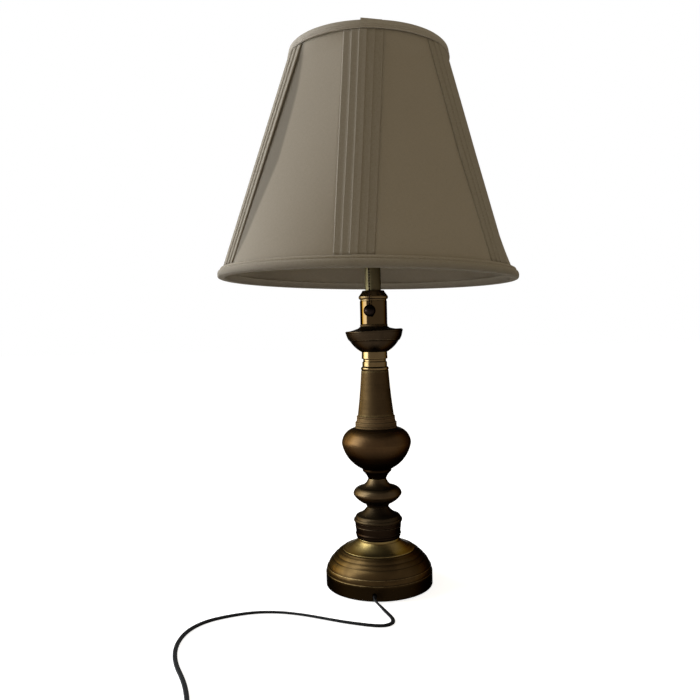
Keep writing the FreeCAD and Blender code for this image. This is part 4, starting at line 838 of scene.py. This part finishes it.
# cord: the route's points in millimetres, down from the slot and over the floor to the coil
cordSet = {
    "exit": (-6.0, -64.72, 6.0), "exitAngle": -5.3, "outRun": 4.5, "width": 4.5, "thick": 2.5,
    "falling": [(-4.4, -74.2, 4.8), (-0.2, -79.8, 2.8)], "floorHeight": 1.55,
    "floor": [
        (3.6, -87.0), (6.8, -95.5), (10.4, -104.6), (13.6, -114.4), (13.6, -124.2), (6.2, -131.6),
        (-6.5, -131.2), (-21.9, -126.6), (-41.1, -119.8), (-62.7, -109.8), (-86.7, -99.3),
        (-112.5, -92.5), (-139.0, -92.8), (-163.4, -101.7), (-185.0, -114.3), (-198.0, -132.5),
        (-203.0, -153.1), (-202.7, -175.9), (-197.9, -198.2), (-189.5, -220.0), (-179.0, -240.2),
        (-169.8, -261.6), (-162.2, -285.2), (-157.2, -311.2)],
    "coilCentre": (-115.0, -345.0), "coilInner": 14.8, "coilTurns": 8.193, "coilPitch": 4.5,
    "coilLow": 2.9, "coilStart": 200.5, "leadIn": (18, 4), "tail": 32.0, "tailPoints": (0.35, 1.0),
    "pointsPerTurn": 16, "nudge": 0.02,
    # the flat cord's turn about its own line in degrees: upright at the slot, swaying on the floor,
    # tilted in the coil; slotRun in metres, and the change to the coil in points of the route
    "twist": {"atSlot": 70, "slotRun": 0.03, "sway": 16, "waves": 21, "phase": 1.2, "inCoil": 42,
              "before": 40, "over": 60},
}


def coilPoint(turned, settings):
    half = math.pi * settings["coilTurns"]
    climb = max(-1.0, min(1.0, turned / (math.pi / 2)))
    height = settings["coilLow"] + settings["coilPitch"] * (1 + math.sin(climb * math.pi / 2)) / 2
    angle = math.radians(settings["coilStart"]) + half + turned
    radius = settings["coilInner"] + settings["coilPitch"] * abs(turned) / (2 * math.pi)
    return Vector((settings["coilCentre"][0] + radius * math.cos(angle),
                   settings["coilCentre"][1] + radius * math.sin(angle), height))


def cordRoute(settings):
    turn = math.radians(settings["exitAngle"])
    way = Vector((math.sin(turn), -math.cos(turn), 0))
    start = Vector(settings["exit"])
    points = [start, start + way * settings["outRun"]]
    points += [Vector(p) for p in settings["falling"]]
    points += [Vector((x, y, settings["floorHeight"])) for x, y in settings["floor"]]
    half = math.pi * settings["coilTurns"]
    nudge = settings["nudge"]
    first, second = coilPoint(-half, settings), coilPoint(-half + nudge, settings)
    back = (first - second).normalized()
    points += [first + back * away for away in settings["leadIn"]]
    count = round(settings["coilTurns"] * settings["pointsPerTurn"])
    for i in range(count + 1):
        points.append(coilPoint(-half + 2 * half * i / count, settings))
    last, before = coilPoint(half, settings), coilPoint(half - nudge, settings)
    onward = (last - before).normalized() * settings["tail"]
    points += [last + onward * share for share in settings["tailPoints"]]
    return [p * mm for p in points]


def readRoute(points):
    curve = bpy.data.curves.new("cordLine", "CURVE")
    curve.dimensions = "3D"
    curve.resolution_u = 6
    spline = curve.splines.new("NURBS")
    spline.points.add(len(points) - 1)
    for point, co in zip(spline.points, points):
        point.co = (*co, 1)
    spline.order_u = 3
    spline.use_endpoint_u = True
    holder = bpy.data.objects.new("cordLine", curve)
    scene.collection.objects.link(holder)
    scene.view_layers[0].update()
    line = bpy.data.meshes.new_from_object(
        holder.evaluated_get(bpy.context.evaluated_depsgraph_get()))
    path = [v.co.copy() for v in line.vertices]
    bpy.data.objects.remove(holder)
    bpy.data.meshes.remove(line)
    return path


def twinSection(settings, sides=14):
    # two round leads side by side, with a shallow web between them
    thick = settings["thick"] / 2
    out = settings["width"] / 2 - thick
    points = []
    for i in range(sides):
        angle = math.radians(-100 + 200 * i / (sides - 1))
        points.append((out + thick * math.cos(angle), thick * math.sin(angle)))
    for i in range(sides):
        angle = math.radians(80 + 200 * i / (sides - 1))
        points.append((-out + thick * math.cos(angle), thick * math.sin(angle)))
    return [(x * mm, y * mm) for x, y in points]


def twinCord(name, path, settings, coilFrom):
    bm = bmesh.new()
    uv = bm.loops.layers.uv.new("cordUv")
    section = twinSection(settings)
    twist = settings["twist"]
    lengths = [0.0]
    for a, b in zip(path, path[1:]):
        lengths.append(lengths[-1] + (b - a).length)
    rings = []
    for i, point in enumerate(path):
        ahead = (path[min(i + 1, len(path) - 1)] - path[max(i - 1, 0)]).normalized()
        side = ahead.cross(Vector((0, 0, 1))).normalized()
        up = side.cross(ahead)
        coiled = max(0.0, min(1.0, (i - coilFrom + twist["before"]) / twist["over"]))
        out = min(1.0, lengths[i] / twist["slotRun"])
        sway = math.sin(lengths[i] * twist["waves"] + twist["phase"]) * out * (1 - coiled)
        turn = math.radians(twist["atSlot"] * (1 - out) + twist["inCoil"] * coiled
                            + twist["sway"] * sway)
        wide = side * math.cos(turn) + up * math.sin(turn)
        tall = up * math.cos(turn) - side * math.sin(turn)
        rings.append([bm.verts.new(point + wide * x + tall * y) for x, y in section])
    for i, (a, b) in enumerate(zip(rings, rings[1:])):
        for k in range(len(section)):
            n = (k + 1) % len(section)
            face = bm.faces.new((a[k], a[n], b[n], b[k]))
            for loop, (u, v) in zip(face.loops, ((k, i), (k + 1, i), (k + 1, i + 1), (k, i + 1))):
                loop[uv].uv = (u / len(section), lengths[v])
    bm.faces.new(list(reversed(rings[0])))
    bm.faces.new(rings[-1])
    bmesh.ops.recalc_face_normals(bm, faces=bm.faces)
    return finishPiece(name, bm, cordRubber, "stand", 50)


cordPath = readRoute(cordRoute(cordSet))
coilPlace = coilPoint(-math.pi * cordSet["coilTurns"], cordSet) * mm
coilBegins = min(range(len(cordPath)), key=lambda i: (cordPath[i] - coilPlace).length)
cordPiece = twinCord("mainsCord", cordPath, cordSet, coilBegins)
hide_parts("free_cord", "cord_coil")

# plug: a moulded body with finger grooves and a tapered strain relief over the cord
plugSet = {
    "length": 26.0, "width": 22.0, "height": 14.8, "cuts": 9, "round": 2.2,
    "relief": 20.0, "reliefRadii": (3.1, 5.2), "reliefLap": 0.5,
    # the body narrows over the first share of its length, and the grooves cross the middle of it
    "pinch": 0.26, "pinchOver": 0.45, "pinchCurve": 1.5,
    "groove": 0.6, "grooveWaves": 7, "grooveSpan": (0.1, 0.8), "grooveSide": 0.36,
}


def mouldedPlug(settings):
    end = cordPath[-1]
    ahead = (cordPath[-1] - cordPath[-3]).normalized()
    side = Vector((0, 0, 1)).cross(ahead).normalized()
    turn = Matrix((ahead, side, Vector((0, 0, 1)))).transposed().to_4x4()
    bm = bmesh.new()
    bmesh.ops.create_cube(bm, size=1.0)
    long, wide, tall = (settings[k] * mm for k in ("length", "width", "height"))
    bmesh.ops.scale(bm, vec=(long, wide, tall), verts=bm.verts)
    bmesh.ops.translate(bm, vec=(long / 2, 0, 0), verts=bm.verts)
    bmesh.ops.subdivide_edges(bm, edges=bm.edges, cuts=settings["cuts"], use_grid_fill=True)
    grooveFrom, grooveTo = settings["grooveSpan"]
    for vert in bm.verts:
        share = vert.co.x / long
        left = max(0, 1 - share / settings["pinchOver"])
        pinch = 1 - settings["pinch"] * left ** settings["pinchCurve"]
        vert.co.y *= pinch
        vert.co.z *= pinch
        if abs(vert.co.y) > wide * settings["grooveSide"] and grooveFrom < share < grooveTo:
            groove = settings["groove"] * mm * max(0, math.sin(share * math.pi * settings["grooveWaves"]))
            vert.co.y -= math.copysign(groove, vert.co.y)
    corners = [e for e in bm.edges if e.calc_face_angle(0) > math.radians(60)]
    bmesh.ops.bevel(bm, geom=corners, offset=settings["round"] * mm, offset_type="OFFSET",
                    segments=3, profile=0.5, affect="EDGES", clamp_overlap=True, material=-1)
    narrow, broad = (radius * mm for radius in settings["reliefRadii"])
    cone = bmesh.ops.create_cone(bm, cap_ends=True, cap_tris=False, segments=32, depth=1,
                                 radius1=narrow, radius2=broad)
    relief = settings["relief"] * mm
    bmesh.ops.scale(bm, vec=(1, 1, relief), verts=cone["verts"])
    bmesh.ops.rotate(bm, verts=cone["verts"], matrix=Matrix.Rotation(math.radians(90), 3, "Y"))
    lap = settings["reliefLap"] * mm
    bmesh.ops.translate(bm, vec=(lap - relief / 2, 0, 0), verts=cone["verts"])
    centre = Vector((end.x, end.y, settings["height"] / 2 * mm))
    return finishPiece("plugMoulded", bm, plugPlastic, "stand", 40, Matrix.Translation(centre) @ turn)


plugPiece = mouldedPlug(plugSet)
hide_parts("plug_body")
print("plug moulded")

# studio: white floor and world for the camera, a soft window that lights from the left, and two
# bright cards, one tall and one low, that only polished surfaces mirror
studio = {
    "ambient": 0.355, "ambientTint": (1.0, 0.88, 0.68), "floorGlow": 0.8,
    "window": {"angle": -97, "away": 1.35, "height": 0.95, "aim": (0, 0, 0.5),
               "size": (0.9, 0.9), "power": 19.5, "tint": (0.95, 1.0, 1.1), "mirrored": False},
    "card": {"angle": -88, "away": 1.2, "height": 1.1, "aim": (0, 0, 0.5), "size": (1.35, 2.2),
             "power": 150, "tint": (0.84, 1.0, 1.12), "mirrored": True},
    "streak": {"angle": -86, "away": 1.15, "height": 0.33, "aim": (0, 0, 0.33),
               "size": (1.1, 0.26), "power": 9, "tint": (0.9, 1.0, 1.08), "mirrored": True},
}


def whiteToCamera(tree):
    # 1 for what the camera sees, straight or through metal's and glass's reflections
    rays = tree.nodes.new("ShaderNodeLightPath")
    seen = rays.outputs["Is Camera Ray"]
    for kind in ("Is Glossy Ray", "Is Transmission Ray"):
        either = tree.nodes.new("ShaderNodeMath")
        either.operation = "MAXIMUM"
        tree.links.new(seen, either.inputs[0])
        tree.links.new(rays.outputs[kind], either.inputs[1])
        seen = either.outputs[0]
    return seen


def addWorld(settings):
    world = bpy.data.worlds.new("studioWorld")
    world.use_nodes = True
    tree = world.node_tree
    room = tree.nodes["Background"]
    room.inputs["Color"].default_value = (*settings["ambientTint"], 1)
    room.inputs["Strength"].default_value = settings["ambient"]
    white = tree.nodes.new("ShaderNodeBackground")
    white.inputs["Color"].default_value = (1, 1, 1, 1)
    blend = tree.nodes.new("ShaderNodeMixShader")
    tree.links.new(whiteToCamera(tree), blend.inputs[0])
    tree.links.new(room.outputs[0], blend.inputs[1])
    tree.links.new(white.outputs[0], blend.inputs[2])
    tree.links.new(blend.outputs[0], tree.nodes["World Output"].inputs["Surface"])
    scene.world = world


def addFloor():
    bm = bmesh.new()
    bmesh.ops.create_grid(bm, x_segments=1, y_segments=1, size=12)
    mesh = bpy.data.meshes.new("studioFloor")
    bm.to_mesh(mesh)
    bm.free()
    s = Shader("floorWhite")
    paper = s.add("BsdfDiffuse", {"Color": (0.9, 0.9, 0.9, 1)})
    glow = s.add("Emission", {"Color": (1, 1, 1, 1), "Strength": studio["floorGlow"]})
    both = s.add("AddShader", {0: paper.outputs[0], 1: glow.outputs[0]})
    blend = s.add("MixShader", {0: whiteToCamera(s.tree), 1: paper.outputs[0],
                                2: both.outputs[0]})
    s.tree.links.new(blend.outputs[0], s.output.inputs["Surface"])
    s.tree.nodes.remove(s.surface)
    mesh.materials.append(s.material)
    floor = bpy.data.objects.new("studioFloor", mesh)
    scene.collection.objects.link(floor)


def addLamp(name, settings):
    data = bpy.data.lights.new(name, "AREA")
    data.shape = "RECTANGLE"
    data.size, data.size_y = settings["size"]
    data.energy = settings["power"]
    data.color = settings["tint"]
    lamp = bpy.data.objects.new(name, data)
    turn = math.radians(settings["angle"])
    lamp.location = (math.sin(turn) * settings["away"], -math.cos(turn) * settings["away"],
                     settings["height"])
    aim = Vector(settings["aim"]) - lamp.location
    lamp.rotation_euler = aim.to_track_quat("-Z", "Y").to_euler()
    lamp.visible_glossy = settings["mirrored"]
    lamp.visible_diffuse = not settings["mirrored"]
    lamp.visible_transmission = not settings["mirrored"]
    scene.collection.objects.link(lamp)


addWorld(studio)
addFloor()
addLamp("windowLight", studio["window"])
addLamp("mirrorCard", studio["card"])
addLamp("streakCard", studio["streak"])
scene.view_settings.view_transform = "Standard"
print("studio lit")
